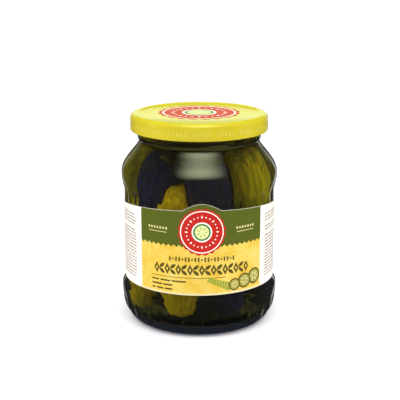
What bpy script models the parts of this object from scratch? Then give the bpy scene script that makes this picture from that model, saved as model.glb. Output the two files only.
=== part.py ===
"""Builds a shut glass jar of pickled gherkins: the jar, its twist-off cap, the wrap-around label and the gherkins.

The jar stands on the ground plane with its axis on Z, and the middle of the label faces -Y.
"""

import math
import random

import bmesh
import bpy
from mathutils import Matrix, Vector

MM = 0.001
CLEARANCE = 0.3 * MM
MERGE = 0.01 * MM

# The whole
OVERALL_HEIGHT = 131.4 * MM
TURNED_STEPS = 90

# Glass jar: radii of its outside
BELLY_RADIUS = 48.6 * MM
PANEL_RADIUS = 47.0 * MM
BULGE_RADIUS = 49.1 * MM
NECK_RADIUS = 37.2 * MM
BEAD_RADIUS = 38.2 * MM
FINISH_RADIUS = 39.4 * MM
FOOT_RADIUS = 37.6 * MM
FOOT_INNER_RADIUS = 34.8 * MM
PUSH_UP_RADIUS = 24.0 * MM

# Glass jar: heights above the ground
LIP_HEIGHT = 129.3 * MM
FINISH_LOW = 121.0 * MM
NECK_GROOVE_HEIGHT = 119.0 * MM
BEAD_HEIGHT = 117.0 * MM
BEAD_HALF = 0.7 * MM
SHOULDER_TOP = 114.4 * MM
SHOULDER_LOW = 94.5 * MM
BELLY_LOW = 91.2 * MM
PANEL_TOP = 83.0 * MM
PANEL_LOW = 28.2 * MM
BULGE_TOP = 22.5 * MM
BULGE_LOW = 18.0 * MM

# Glass jar: walls, floor and the curve of its shoulder
WALL = 2.8 * MM
LIP_ROUND = 1.3 * MM
FLOOR_CORNER = 11.0 * MM
FLOOR_EDGE_HEIGHT = 5.4 * MM
FLOOR_MIDDLE_HEIGHT = 8.0 * MM
PUSH_UP_HEIGHT = 3.8 * MM
SHOULDER_FULLNESS = 1.3

# Shallow flutes pressed in the glass, in a band on the step above the label and in one on the heel
FLUTE_COUNT = 30
UPPER_FLUTES = {"low": 74.0 * MM, "top": 91.5 * MM, "depth": 0.9 * MM}
HEEL_FLUTES = {"low": 2.0 * MM, "top": 18.5 * MM, "depth": 0.8 * MM}
FLUTE_END_POWER = 0.6

# Twist-off closure: raised starts on the glass finish, and the lugs of the cap that sit under them
START_COUNT = 6
START_REACH = 1.2 * MM
START_LOW = 124.6 * MM
START_TOP = 126.6 * MM
START_EDGE = 0.35 * MM
START_END_POWER = 0.3
START_SPAN = math.radians(38.0)
START_FALL = 1.0 * MM
LUG_REACH = 0.9 * MM
LUG_SPAN = math.radians(11.0)
LUG_HEIGHT = 2.0 * MM

# Cap of pressed tinplate, drawn thicker than real sheet so that it is a sound solid
CAP_STEPS = 72
CAP_RADIUS = 42.65 * MM
CAP_LOW = 120.9 * MM
CAP_WALL = 0.9 * MM
CAP_CORNER = 3.0 * MM
CAP_RIM_RADIUS = 39.9 * MM
CAP_PANEL_RADIUS = 36.6 * MM
CAP_PANEL_DROP = 0.7 * MM
CAP_PANEL_STEP = 1.2 * MM
CAP_SKIRT_DRAFT = 0.15 * MM
CAP_CURL_RADIUS = 0.85 * MM
CAP_CURL_RISE = 0.9 * MM

# Paper label: its middle is a little to the right of the front
LABEL_MIDDLE = math.radians(2.0)
LABEL_HALF_SPAN = math.radians(161.0)
LABEL_PAPER = 0.3 * MM
LABEL_LOW = 28.4 * MM
LABEL_MIDDLE_TOP = 80.8 * MM
LABEL_ARCH_DROP = 5.0 * MM
LABEL_ARCH_SPAN = math.radians(90.0)
LABEL_CREST_RISE = 4.2 * MM
LABEL_CREST_HALF = math.radians(14.5)
LABEL_CREST_POWER = 1.25
LABEL_COLUMN_STEP = math.radians(3.5)

# Gherkins: a lower ring that stands on the floor, and an upper ring between the tips of the lower.
# Each draws its own length, girth and sway, apart from what the ring sets for one by its number
GHERKIN_SEGMENTS = 12
GHERKIN_RINGS = 9
GHERKIN_FULLNESS = 3.6
CORE_RADIUS = 29.0 * MM
CORE_LOW = 12.0 * MM
CORE_TOP = 101.0 * MM
CORE_SIDES = 24
LOWER_RING = {
    "count": 7,
    "radius": 30.0 * MM,
    "first": math.radians(-24.0),
    "low": 9.6 * MM,
    "length": 76.0 * MM,
    "girth": 12.6 * MM,
    "lean": math.radians(0.5),
    "own": {0: {"length": 83.8 * MM, "girth": 13.2 * MM, "sway": math.radians(-2.5)}},
}
UPPER_RING = {
    "count": 6,
    "radius": 28.2 * MM,
    "first": math.radians(-50.0),
    "low": 57.0 * MM,
    "length": 54.0 * MM,
    "girth": 13.2 * MM,
    "lean": math.radians(8.0),
    "own": {2: {"sway": math.radians(-9.0)}},
}
LENGTH_SPREAD = 0.07
GIRTH_SPREAD = 0.05
SWAY = math.radians(7.0)
BEND = 1.4 * MM
SEED = 7

COLOURS = {
    "glass_clear": ((0.82, 0.87, 0.84), 0.04, 0.0),
    "cap_enamel": ((0.78, 0.66, 0.05), 0.3, 0.0),
    "label_paper": ((0.80, 0.68, 0.28), 0.6, 0.0),
    "gherkin_skin": ((0.10, 0.13, 0.02), 0.45, 0.0),
}


def clear_scene():
    """Removes whatever the file opens with."""
    for obj in list(bpy.data.objects):
        bpy.data.objects.remove(obj, do_unlink=True)


def material(name):
    """A plain finish with the part's colour, roughness and metallic value."""
    colour, roughness, metallic = COLOURS[name]
    made = bpy.data.materials.new(name)
    made.use_nodes = True
    surface = made.node_tree.nodes["Principled BSDF"]
    surface.inputs["Base Color"].default_value = (*colour, 1.0)
    surface.inputs["Roughness"].default_value = roughness
    surface.inputs["Metallic"].default_value = metallic
    made.diffuse_color = (*colour, 1.0)
    return made


def add_object(name, mesh, collection, finish=None):
    """Puts a mesh in the scene under its own name, with its finish."""
    obj = bpy.data.objects.new(name, mesh)
    collection.objects.link(obj)
    if finish is not None:
        mesh.materials.append(finish)
    return obj


def bake_modifiers(obj):
    """Replaces an object's mesh with what its modifiers make of it."""
    depsgraph = bpy.context.evaluated_depsgraph_get()
    finished = bpy.data.meshes.new_from_object(obj.evaluated_get(depsgraph))
    old = obj.data
    obj.modifiers.clear()
    obj.data = finished
    bpy.data.meshes.remove(old)
    finished.name = obj.name


def shade(obj):
    """Smooth shading that keeps the sharp edges."""
    obj.data.shade_smooth()
    obj.data.set_sharp_from_angle(angle=math.radians(35.0))


def ease(share):
    """Smooth step from 0 to 1."""
    return share * share * (3.0 - 2.0 * share)


def steps(count):
    """Shares from just over 0 up to 1, in equal steps."""
    return [(i + 1) / count for i in range(count)]


def s_curve(start, end, count):
    """Points after start on a curve that leaves start and meets end upright."""
    return [
        (start[0] + (end[0] - start[0]) * ease(share), start[1] + (end[1] - start[1]) * share)
        for share in steps(count)
    ]


def shoulder_curve(start, end, count):
    """Points after start down a shoulder that flares at once and meets the belly upright."""
    return [
        (
            start[0] + (end[0] - start[0]) * math.sin(share * math.pi / 2) ** SHOULDER_FULLNESS,
            start[1] + (end[1] - start[1]) * share,
        )
        for share in steps(count)
    ]


def quarter_round(centre, radial, vertical, first, last, count):
    """Points after first on an ellipse round centre, by its angle from the radial direction."""
    return [
        (centre[0] + radial * math.cos(angle), centre[1] + vertical * math.sin(angle))
        for angle in (first + (last - first) * share for share in steps(count))
    ]


def jar_outside():
    """Outline of the jar's outside, from under the lip down to the middle of the push-up."""
    finish_top = LIP_HEIGHT - LIP_ROUND
    heel_centre = (FOOT_RADIUS, BULGE_LOW)
    push_up_centre = (PUSH_UP_RADIUS, 0.0)
    return [
        (FINISH_RADIUS, finish_top),
        (FINISH_RADIUS, START_TOP + START_EDGE),
        (FINISH_RADIUS, START_TOP - START_EDGE),
        (FINISH_RADIUS, START_LOW + START_EDGE),
        (FINISH_RADIUS, START_LOW - START_EDGE),
        (FINISH_RADIUS, FINISH_LOW),
        (NECK_RADIUS, NECK_GROOVE_HEIGHT),
        (BEAD_RADIUS, BEAD_HEIGHT + BEAD_HALF),
        (BEAD_RADIUS, BEAD_HEIGHT - BEAD_HALF),
        (NECK_RADIUS, SHOULDER_TOP),
        *shoulder_curve((NECK_RADIUS, SHOULDER_TOP), (BELLY_RADIUS, SHOULDER_LOW), 5),
        (BELLY_RADIUS, BELLY_LOW),
        *s_curve((BELLY_RADIUS, BELLY_LOW), (PANEL_RADIUS, PANEL_TOP), 3),
        (PANEL_RADIUS, UPPER_FLUTES["low"]),
        (PANEL_RADIUS, PANEL_LOW),
        *s_curve((PANEL_RADIUS, PANEL_LOW), (BULGE_RADIUS, BULGE_TOP), 3),
        (BULGE_RADIUS, BULGE_LOW),
        *quarter_round(heel_centre, BULGE_RADIUS - FOOT_RADIUS, BULGE_LOW, 0.0, -math.pi / 2, 4),
        (FOOT_INNER_RADIUS, 0.0),
        *quarter_round(push_up_centre, FOOT_INNER_RADIUS - PUSH_UP_RADIUS, PUSH_UP_HEIGHT, 0.0, math.pi / 2, 3),
        (0.0, PUSH_UP_HEIGHT),
    ]


def jar_inside():
    """Outline of the jar's inside, from the middle of its floor up to the lip."""
    neck = NECK_RADIUS - WALL
    belly = BELLY_RADIUS - WALL
    panel = PANEL_RADIUS - WALL
    bulge = BULGE_RADIUS - WALL
    corner = (bulge - FLOOR_CORNER, FLOOR_EDGE_HEIGHT + FLOOR_CORNER)
    corner_round = quarter_round(corner, FLOOR_CORNER, FLOOR_CORNER, -math.pi / 2, 0.0, 3)
    shoulder = shoulder_curve((neck, SHOULDER_TOP - WALL), (belly, SHOULDER_LOW), 3)
    return [
        (0.0, FLOOR_MIDDLE_HEIGHT),
        (corner[0], FLOOR_EDGE_HEIGHT),
        *corner_round,
        (bulge, BULGE_TOP),
        (panel, PANEL_LOW),
        (panel, PANEL_TOP),
        (belly, BELLY_LOW),
        *reversed(shoulder),
        (neck, SHOULDER_TOP),
        (neck, LIP_HEIGHT - LIP_ROUND),
        (neck + LIP_ROUND, LIP_HEIGHT),
        (FINISH_RADIUS - LIP_ROUND, LIP_HEIGHT),
    ]


def cap_outline():
    """Outline of the cap's sheet, from the middle of its top out, down the skirt, round the curl and back inside."""
    top = OVERALL_HEIGHT
    panel_top = top - CAP_PANEL_DROP
    inner_radius = CAP_RADIUS - CAP_SKIRT_DRAFT - CAP_WALL
    curl = (CAP_RADIUS - CAP_CURL_RADIUS, CAP_LOW + CAP_CURL_RADIUS)
    corner = (CAP_RADIUS - CAP_CORNER, top - CAP_CORNER)
    return [
        (0.0, panel_top),
        (CAP_PANEL_RADIUS, panel_top),
        (CAP_PANEL_RADIUS + CAP_PANEL_STEP, top),
        (CAP_RIM_RADIUS, top),
        *quarter_round(corner, CAP_CORNER - CAP_SKIRT_DRAFT, CAP_CORNER, math.radians(70.0), 0.0, 3),
        *quarter_round(curl, CAP_CURL_RADIUS, CAP_CURL_RADIUS, math.radians(30.0), -math.pi, 5),
        (curl[0] - CAP_CURL_RADIUS, curl[1] + CAP_CURL_RISE),
        (inner_radius, curl[1] + 2 * CAP_CURL_RISE),
        (inner_radius, corner[1]),
        (corner[0], top - CAP_WALL),
        (CAP_PANEL_RADIUS + CAP_PANEL_STEP, top - CAP_WALL),
        (CAP_PANEL_RADIUS, panel_top - CAP_WALL),
        (0.0, panel_top - CAP_WALL),
    ]


def turned(name, outline, turn_steps, collection, finish):
    """A solid of revolution round Z: an outline at +X turned by a Screw modifier, then made a plain mesh."""
    mesh = bpy.data.meshes.new(name)
    shape = bmesh.new()
    points = [shape.verts.new((radius, 0.0, height)) for radius, height in outline]
    for start, end in zip(points, points[1:]):
        shape.edges.new((start, end))
    shape.to_mesh(mesh)
    shape.free()
    obj = add_object(name, mesh, collection, finish)
    screw = obj.modifiers.new("Turn", "SCREW")
    screw.axis = "Z"
    screw.angle = math.tau
    screw.steps = turn_steps
    screw.render_steps = turn_steps
    screw.use_merge_vertices = True
    screw.merge_threshold = MERGE
    bake_modifiers(obj)
    return obj


def outer_radius_at(height):
    """Radius of the plain outside at a height, read off its outline."""
    outline = jar_outside()
    for (upper_r, upper_z), (lower_r, lower_z) in zip(outline, outline[1:]):
        if upper_z >= height >= lower_z and upper_z > lower_z:
            share = (upper_z - height) / (upper_z - lower_z)
            return upper_r + (lower_r - upper_r) * share
    return FOOT_RADIUS


def on_outer_wall(point):
    """True for a point of the outer wall, and not of the inside or the push-up."""
    return math.hypot(point.x, point.y) > outer_radius_at(point.z) - WALL / 2


def press_flutes(obj, band):
    """Presses a band of upright flutes into the outside: flat between sharp ribs, fading out at both ends."""
    for vertex in obj.data.vertices:
        point = vertex.co
        if not (band["low"] < point.z < band["top"] and on_outer_wall(point)):
            continue
        share = (point.z - band["low"]) / (band["top"] - band["low"])
        fade = math.sin(share * math.pi) ** FLUTE_END_POWER
        across = 0.5 - 0.5 * math.cos(FLUTE_COUNT * math.atan2(point.y, point.x))
        radius = math.hypot(point.x, point.y)
        scale = (radius - band["depth"] * fade * across) / radius
        vertex.co = Vector((point.x * scale, point.y * scale, point.z))


def start_share(angle):
    """How far along a closure start an angle lies, from 0 to 1, or None between two starts."""
    pitch = math.tau / START_COUNT
    along = angle % pitch
    return along / START_SPAN if along <= START_SPAN else None


def raise_starts(obj):
    """Raises the sloping starts on the finish, which the lugs of the cap are turned under."""
    for vertex in obj.data.vertices:
        point = vertex.co
        on_finish = abs(math.hypot(point.x, point.y) - FINISH_RADIUS) < MERGE
        if not (on_finish and START_LOW < point.z < START_TOP):
            continue
        share = start_share(math.atan2(point.y, point.x))
        if share is None:
            continue
        reach = START_REACH * math.sin(min(share, 1.0 - share) * math.pi) ** START_END_POWER
        scale = (FINISH_RADIUS + reach) / FINISH_RADIUS
        vertex.co = Vector((point.x * scale, point.y * scale, point.z - START_FALL * (share - 0.5)))


def press_lugs(obj):
    """Presses the inner edge of the cap's curl in at each lug."""
    curl_inner = CAP_RADIUS - 2 * CAP_CURL_RADIUS + MERGE
    pitch = math.tau / START_COUNT
    for vertex in obj.data.vertices:
        point = vertex.co
        radius = math.hypot(point.x, point.y)
        if radius > curl_inner or point.z > CAP_LOW + LUG_HEIGHT:
            continue
        along = (math.atan2(point.y, point.x) + LUG_SPAN / 2) % pitch
        if along <= LUG_SPAN:
            scale = (radius - LUG_REACH) / radius
            vertex.co = Vector((point.x * scale, point.y * scale, point.z))


def make_jar(collection):
    """The hollow glass jar, open at its mouth."""
    obj = turned("jar", jar_inside() + jar_outside(), TURNED_STEPS, collection, material("glass_clear"))
    press_flutes(obj, UPPER_FLUTES)
    press_flutes(obj, HEEL_FLUTES)
    raise_starts(obj)
    shade(obj)
    return obj


def make_cap(collection):
    """The pressed twist-off cap."""
    obj = turned("cap", cap_outline(), CAP_STEPS, collection, material("cap_enamel"))
    press_lugs(obj)
    shade(obj)
    return obj


def label_top(angle):
    """Height of the label's top edge at an angle from its middle: an arch with a crest in the middle."""
    reach = min(abs(angle) / LABEL_ARCH_SPAN, 1.0)
    height = LABEL_MIDDLE_TOP - LABEL_ARCH_DROP * reach**2
    share = abs(angle) / LABEL_CREST_HALF
    if share < 1.0:
        height += LABEL_CREST_RISE * (1.0 - share**2) ** LABEL_CREST_POWER
    return height


def make_label(collection):
    """The wrap-around paper label: a bent grid, thickened outwards, clear of the glass."""
    columns = round(2 * LABEL_HALF_SPAN / LABEL_COLUMN_STEP)
    mesh = bpy.data.meshes.new("label")
    shape = bmesh.new()
    bmesh.ops.create_grid(shape, x_segments=columns, y_segments=1, size=1.0)
    radius = PANEL_RADIUS + CLEARANCE
    for vertex in shape.verts:
        angle = vertex.co.x * LABEL_HALF_SPAN
        height = label_top(angle) if vertex.co.y > 0 else LABEL_LOW
        turn = angle + LABEL_MIDDLE
        vertex.co = Vector((radius * math.sin(turn), -radius * math.cos(turn), height))
    shape.to_mesh(mesh)
    shape.free()
    obj = add_object("label", mesh, collection, material("label_paper"))
    paper = obj.modifiers.new("Paper", "SOLIDIFY")
    paper.thickness = LABEL_PAPER
    paper.offset = 1.0
    bake_modifiers(obj)
    return obj


def gherkin_mesh(name, length, girth):
    """One gherkin: a sphere drawn out along Z with blunt ends, bent a little towards -X."""
    mesh = bpy.data.meshes.new(name)
    shape = bmesh.new()
    bmesh.ops.create_uvsphere(shape, u_segments=GHERKIN_SEGMENTS, v_segments=GHERKIN_RINGS, radius=1.0)
    for vertex in shape.verts:
        along = vertex.co.z
        ring = math.hypot(vertex.co.x, vertex.co.y)
        width = (1.0 - abs(along) ** GHERKIN_FULLNESS) ** 0.5 / ring if ring > 1e-6 else 0.0
        vertex.co.x = vertex.co.x * width * girth + BEND * along**2
        vertex.co.y = vertex.co.y * width * girth
        vertex.co.z = along * length / 2
    shape.to_mesh(mesh)
    shape.free()
    return mesh


def drawn_sizes(ring, index, draw):
    """Length, girth, sway and spin of one gherkin of a ring, with what the ring sets for that one."""
    sizes = {
        "length": ring["length"] * (1.0 + LENGTH_SPREAD * draw.uniform(-1.0, 1.0)),
        "girth": ring["girth"] * (1.0 + GIRTH_SPREAD * draw.uniform(-1.0, 1.0)),
        "sway": SWAY * draw.uniform(-1.0, 1.0),
        "spin": draw.uniform(0.0, math.tau),
    }
    return sizes | ring["own"].get(index, {})


def place_ring(ring, draw, collection):
    """Stands one ring of gherkins round the core, each of its own size and turn."""
    for index in range(ring["count"]):
        turn = ring["first"] + index * math.tau / ring["count"]
        sizes = drawn_sizes(ring, index, draw)
        mesh = gherkin_mesh(f"gherkin_{len(collection.objects)}", sizes["length"], sizes["girth"])
        obj = bpy.data.objects.new(mesh.name, mesh)
        collection.objects.link(obj)
        middle = Vector((0.0, -ring["radius"], ring["low"] + sizes["length"] / 2))
        lean = Matrix.Rotation(-ring["lean"], 4, "X")
        sway = Matrix.Rotation(sizes["sway"], 4, "Y")
        spin = Matrix.Rotation(sizes["spin"], 4, "Z")
        obj.matrix_world = Matrix.Rotation(turn, 4, "Z") @ Matrix.Translation(middle) @ sway @ lean @ spin


def keep_outer_shell(obj):
    """Drops whatever is loose from the largest shell, so that the heap is one body with no sealed hollow."""
    shape = bmesh.new()
    shape.from_mesh(obj.data)
    bmesh.ops.remove_doubles(shape, verts=shape.verts, dist=MERGE)
    waiting = set(shape.verts)
    shells = []
    while waiting:
        front = [waiting.pop()]
        shell = set(front)
        while front:
            near = {edge.other_vert(vertex) for vertex in front for edge in vertex.link_edges}
            front = list(near - shell)
            shell |= near
        waiting -= shell
        shells.append(shell)
    largest = max(shells, key=len)
    loose = [vertex for vertex in shape.verts if vertex not in largest]
    bmesh.ops.delete(shape, geom=loose, context="VERTS")
    shape.to_mesh(obj.data)
    shape.free()


def make_gherkins(collection):
    """The packed gherkins: two rings fused on a smaller core by one Boolean union."""
    draw = random.Random(SEED)
    ring_collection = bpy.data.collections.new("gherkin rings")
    bpy.context.scene.collection.children.link(ring_collection)
    place_ring(LOWER_RING, draw, ring_collection)
    place_ring(UPPER_RING, draw, ring_collection)

    mesh = bpy.data.meshes.new("gherkins")
    shape = bmesh.new()
    bmesh.ops.create_cone(
        shape,
        cap_ends=True,
        segments=CORE_SIDES,
        radius1=CORE_RADIUS,
        radius2=CORE_RADIUS,
        depth=CORE_TOP - CORE_LOW,
    )
    bmesh.ops.translate(shape, verts=shape.verts, vec=(0.0, 0.0, (CORE_TOP + CORE_LOW) / 2))
    shape.to_mesh(mesh)
    shape.free()
    obj = add_object("gherkins", mesh, collection, material("gherkin_skin"))
    union = obj.modifiers.new("Fuse", "BOOLEAN")
    union.operation = "UNION"
    union.operand_type = "COLLECTION"
    union.collection = ring_collection
    union.solver = "EXACT"
    bake_modifiers(obj)
    for ring_object in list(ring_collection.objects):
        bpy.data.objects.remove(ring_object, do_unlink=True)
    bpy.data.collections.remove(ring_collection)
    keep_outer_shell(obj)
    return obj


def main():
    """Builds the four pieces of the jar."""
    clear_scene()
    collection = bpy.data.collections.new("pickle jar")
    bpy.context.scene.collection.children.link(collection)
    make_jar(collection)
    make_cap(collection)
    make_label(collection)
    make_gherkins(collection)


main()
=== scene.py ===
"""Dresses the shut jar of gherkins: glass, cap, printed label, pickles, brine and spices, in a pale studio.

Sizes are in millimetres and turned to metres by MM. The jar's axis is Z, and its label's middle faces -Y.
"""

from __future__ import annotations

import logging
import math
import random
from collections.abc import Callable, Iterator, Sequence
from contextlib import contextmanager
from dataclasses import dataclass
from enum import Enum

import bpy
from bpy.types import Material, Mesh, Node, NodeSocket, NodeTree, Object
from mathutils import Matrix, Vector, noise

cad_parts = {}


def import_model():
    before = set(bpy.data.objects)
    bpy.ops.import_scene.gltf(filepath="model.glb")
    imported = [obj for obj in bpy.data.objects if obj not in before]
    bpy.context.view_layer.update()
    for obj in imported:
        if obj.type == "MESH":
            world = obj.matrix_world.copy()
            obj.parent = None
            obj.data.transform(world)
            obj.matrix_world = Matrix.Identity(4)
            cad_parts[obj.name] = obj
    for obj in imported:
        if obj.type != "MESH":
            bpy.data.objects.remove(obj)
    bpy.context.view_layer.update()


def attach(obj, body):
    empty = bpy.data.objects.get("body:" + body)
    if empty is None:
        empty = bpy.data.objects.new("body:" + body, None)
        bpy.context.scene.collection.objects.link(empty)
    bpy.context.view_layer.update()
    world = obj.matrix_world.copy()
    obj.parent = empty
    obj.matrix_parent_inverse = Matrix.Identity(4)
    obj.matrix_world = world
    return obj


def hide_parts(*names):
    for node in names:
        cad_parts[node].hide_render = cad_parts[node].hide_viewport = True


LOG = logging.getLogger("pickle_jar")

MM = 0.001
MERGE = 0.005 * MM
BODY = "root"
INK_FILM = 0.012
SIDES = (-1.0, 1.0)

Point = tuple[float, float]
Colour = tuple[float, float, float, float]
Edge = Callable[[float], float]
Settings = dict[str | int, object]
Links = dict[str | int, Node | NodeSocket]


# Colour and node helpers


def linear(hex_colour: str) -> Colour:
    """Turns an sRGB colour to the linear one that the shaders take.

    Args:
        hex_colour: Six hexadecimal digits.

    Returns:
        Linear red, green, blue and full alpha.
    """
    parts = [int(hex_colour[i : i + 2], 16) / 255.0 for i in (0, 2, 4)]
    bright = [((part + 0.055) / 1.055) ** 2.4 if part > 0.04045 else part / 12.92 for part in parts]
    return (*bright, 1.0)


def connect(tree: NodeTree, node: Node, links: Links) -> None:
    """Links sources to a node's inputs, by name or index, where a node stands for its own first output."""
    for key, source in links.items():
        tree.links.new(source.outputs[0] if isinstance(source, Node) else source, node.inputs[key])


def add_node(tree: NodeTree, kind: str, settings: Settings | None = None, links: Links | None = None) -> Node:
    """Adds a shader node with its settings and its incoming links.

    Args:
        tree: The node tree that gets the node.
        kind: Blender's name for the node type, after the word ShaderNode.
        settings: Values by input name or index, or by property name.
        links: What comes in, as connect takes it.

    Returns:
        The new node.
    """
    node = tree.nodes.new(f"ShaderNode{kind}")
    for key, value in (settings or {}).items():
        if isinstance(key, int) or key in node.inputs:
            node.inputs[key].default_value = value
        else:
            setattr(node, key, value)
    connect(tree, node, links or {})
    return node


def fill_ramp(node: Node, stops: Sequence[tuple[float, str]]) -> None:
    """Sets the stops of a colour ramp.

    Args:
        node: The colour ramp.
        stops: Each stop's place from 0 to 1 and its sRGB hex colour.
    """
    elements = node.color_ramp.elements
    while len(elements) < len(stops):
        elements.new(1.0)
    for element, (place, hex_colour) in zip(elements, stops):
        element.position = place
        element.color = linear(hex_colour)


def set_surface(surface: Node, **values: object) -> None:
    """Sets constant values on a surface's own sockets, named with underscores for spaces."""
    for key, value in values.items():
        surface.inputs[key.replace("_", " ")].default_value = value


# Modelling helpers


def deselect_all() -> None:
    """Leaves nothing selected, because an operator acts on all that is."""
    if bpy.context.mode != "OBJECT":
        bpy.ops.object.mode_set(mode="OBJECT")
    bpy.ops.object.select_all(action="DESELECT")


def new_object(name: str, add: Callable[..., object], **settings: object) -> Object:
    """Adds a primitive, a lamp or a camera with nothing else selected.

    Args:
        name: Its name.
        add: The operator that adds it.
        settings: What the operator is given.

    Returns:
        The new object.
    """
    deselect_all()
    add(**settings)
    obj = bpy.context.active_object
    obj.name = name
    return obj


def make_active(obj: Object) -> None:
    """Selects one object alone and makes it the active one."""
    deselect_all()
    obj.select_set(True)
    bpy.context.view_layer.objects.active = obj


@contextmanager
def editing(obj: Object) -> Iterator[None]:
    """Edit mode on one object, by its vertices, with all of it selected at first."""
    make_active(obj)
    bpy.ops.object.mode_set(mode="EDIT")
    bpy.ops.mesh.select_mode(type="VERT")
    bpy.ops.mesh.select_all(action="SELECT")
    yield
    bpy.ops.object.mode_set(mode="OBJECT")


def face_outwards() -> None:
    """Turns every face of the mesh in edit mode to point out."""
    bpy.ops.mesh.select_all(action="SELECT")
    bpy.ops.mesh.normals_make_consistent(inside=False)


def copy_at(master: Object, matrix: Matrix) -> Object:
    """Copies a master shape with its own mesh, moved by a matrix.

    Args:
        master: The shape that repeats, at the origin.
        matrix: Where the copy goes.

    Returns:
        The copy, its place in its mesh.
    """
    mesh = master.data.copy()
    mesh.transform(matrix)
    copy = bpy.data.objects.new(master.name + "_copy", mesh)
    bpy.context.scene.collection.objects.link(copy)
    return copy


def join(name: str, parts: Sequence[Object]) -> Object:
    """Joins objects into one piece.

    Args:
        name: The piece's name.
        parts: The objects, which become part of the first.

    Returns:
        The joined piece.
    """
    deselect_all()
    for part in parts:
        part.select_set(True)
    bpy.context.view_layer.objects.active = parts[0]
    bpy.ops.object.join()
    piece = parts[0]
    piece.name = name
    piece.data.name = name
    return piece


def remove(*masters: Object) -> None:
    """Takes master shapes out of the scene once their copies are made."""
    for master in masters:
        bpy.data.objects.remove(master, do_unlink=True)


def thicken(obj: Object, thickness: float) -> None:
    """Gives a sheet its thickness, in millimetres, on the side that it faces."""
    make_active(obj)
    modifier = obj.modifiers.new("Thickness", "SOLIDIFY")
    modifier.thickness = thickness * MM
    modifier.offset = 1.0
    bpy.ops.object.modifier_apply(modifier=modifier.name)


def deliver(piece: Object, degrees: float, material: Material) -> Object:
    """Finishes a piece: smooth shading, its material, and its ride on the jar's body.

    Args:
        piece: The modelled piece.
        degrees: The angle past which its edges stay sharp.
        material: Its finish.

    Returns:
        The same piece.
    """
    make_active(piece)
    bpy.ops.object.shade_smooth_by_angle(angle=math.radians(degrees))
    piece.data.materials.clear()
    piece.data.materials.append(material)
    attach(piece, BODY)
    return piece


def hide_from(obj: Object, *rays: str) -> None:
    """Keeps an object unseen by kinds of ray, such as glossy or shadow."""
    for ray in rays:
        setattr(obj, f"visible_{ray}", False)


def write_attribute(mesh: Mesh, name: str, values: Sequence[float] | Sequence[Vector]) -> None:
    """Writes one value for each vertex, which a finish then reads.

    Args:
        mesh: The mesh that gets the attribute.
        name: The attribute's name.
        values: A number or a vector for each vertex.
    """
    if isinstance(values[0], Vector):
        flat = [part for value in values for part in value]
        mesh.attributes.new(name, "FLOAT_VECTOR", "POINT").data.foreach_set("vector", flat)
    else:
        mesh.attributes.new(name, "FLOAT", "POINT").data.foreach_set("value", values)


def turn_outline(name: str, outline: Sequence[Point], turn_steps: int) -> Object:
    """Turns an outline round Z: one vertex is drawn out along it, and the line is spun.

    Args:
        name: The piece's name.
        outline: Radius and height of each point, in millimetres, ending on the axis or where it began.
        turn_steps: Steps in a full turn.

    Returns:
        The closed turned piece, its faces pointing out.
    """
    obj = new_object(name, bpy.ops.mesh.primitive_plane_add, size=MM)
    with editing(obj):
        bpy.ops.mesh.merge(type="CENTER")
        bpy.ops.transform.translate(value=(outline[0][0] * MM, 0.0, outline[0][1] * MM))
        for (start_r, start_z), (end_r, end_z) in zip(outline, outline[1:]):
            step = ((end_r - start_r) * MM, 0.0, (end_z - start_z) * MM)
            bpy.ops.mesh.extrude_region_move(TRANSFORM_OT_translate={"value": step})
        bpy.ops.mesh.select_all(action="SELECT")
        bpy.ops.mesh.spin(steps=turn_steps, angle=math.tau, center=(0.0, 0.0, 0.0), axis=(0.0, 0.0, 1.0))
        bpy.ops.mesh.select_all(action="SELECT")
        bpy.ops.mesh.remove_doubles(threshold=MERGE)
        face_outwards()
    return obj


def lay_map(sheet: Object) -> None:
    """Writes each corner's flat place into the sheet's own map, before it is wrapped."""
    mesh = sheet.data
    layer = mesh.uv_layers.get(PrintSheet.MAP) or mesh.uv_layers.new(name=PrintSheet.MAP)
    side = PrintSheet.MAP_MM * MM
    for loop in mesh.loops:
        place = mesh.vertices[loop.vertex_index].co
        layer.data[loop.index].uv = (place.x / side, place.y / side)
    mesh.uv_layers.active = layer


def wrap(sheet: Object, radius: float, middle: float) -> None:
    """Maps a flat sheet and bends it round the axis: X runs round it, Y up it and Z out of it.

    Args:
        sheet: The flat sheet, in metres.
        radius: Radius that its plane takes, in millimetres.
        middle: Angle of its middle from the front, in degrees.
    """
    lay_map(sheet)
    for vertex in sheet.data.vertices:
        turn = vertex.co.x / (radius * MM) + math.radians(middle)
        reach = radius * MM + vertex.co.z
        vertex.co = Vector((reach * math.sin(turn), -reach * math.cos(turn), vertex.co.y))


# Curves that the outlines are drawn with


def ease(share: float) -> float:
    """Smooth step from 0 to 1."""
    return share * share * (3.0 - 2.0 * share)


def shares(count: int) -> list[float]:
    """Shares from just over 0 up to 1, in equal steps."""
    return [(i + 1) / count for i in range(count)]


def part_way(start: Point, end: Point, across: float, up: float) -> Point:
    """The point that has gone one share of the way in radius and another in height."""
    return start[0] + (end[0] - start[0]) * across, start[1] + (end[1] - start[1]) * up


def s_curve(start: Point, end: Point, count: int) -> list[Point]:
    """Points after start on a curve that leaves start and meets end upright."""
    return [part_way(start, end, ease(share), share) for share in shares(count)]


def straight(start: Point, end: Point, count: int) -> list[Point]:
    """Points after start on a straight line, in equal steps."""
    return [part_way(start, end, share, share) for share in shares(count)]


def rounded(centre: Point, half: Point, first: float, last: float, count: int) -> list[Point]:
    """Points after the first on an ellipse of that half width and height, angles in degrees."""
    angles = [math.radians(first + (last - first) * share) for share in shares(count)]
    return [(centre[0] + half[0] * math.cos(a), centre[1] + half[1] * math.sin(a)) for a in angles]


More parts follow.
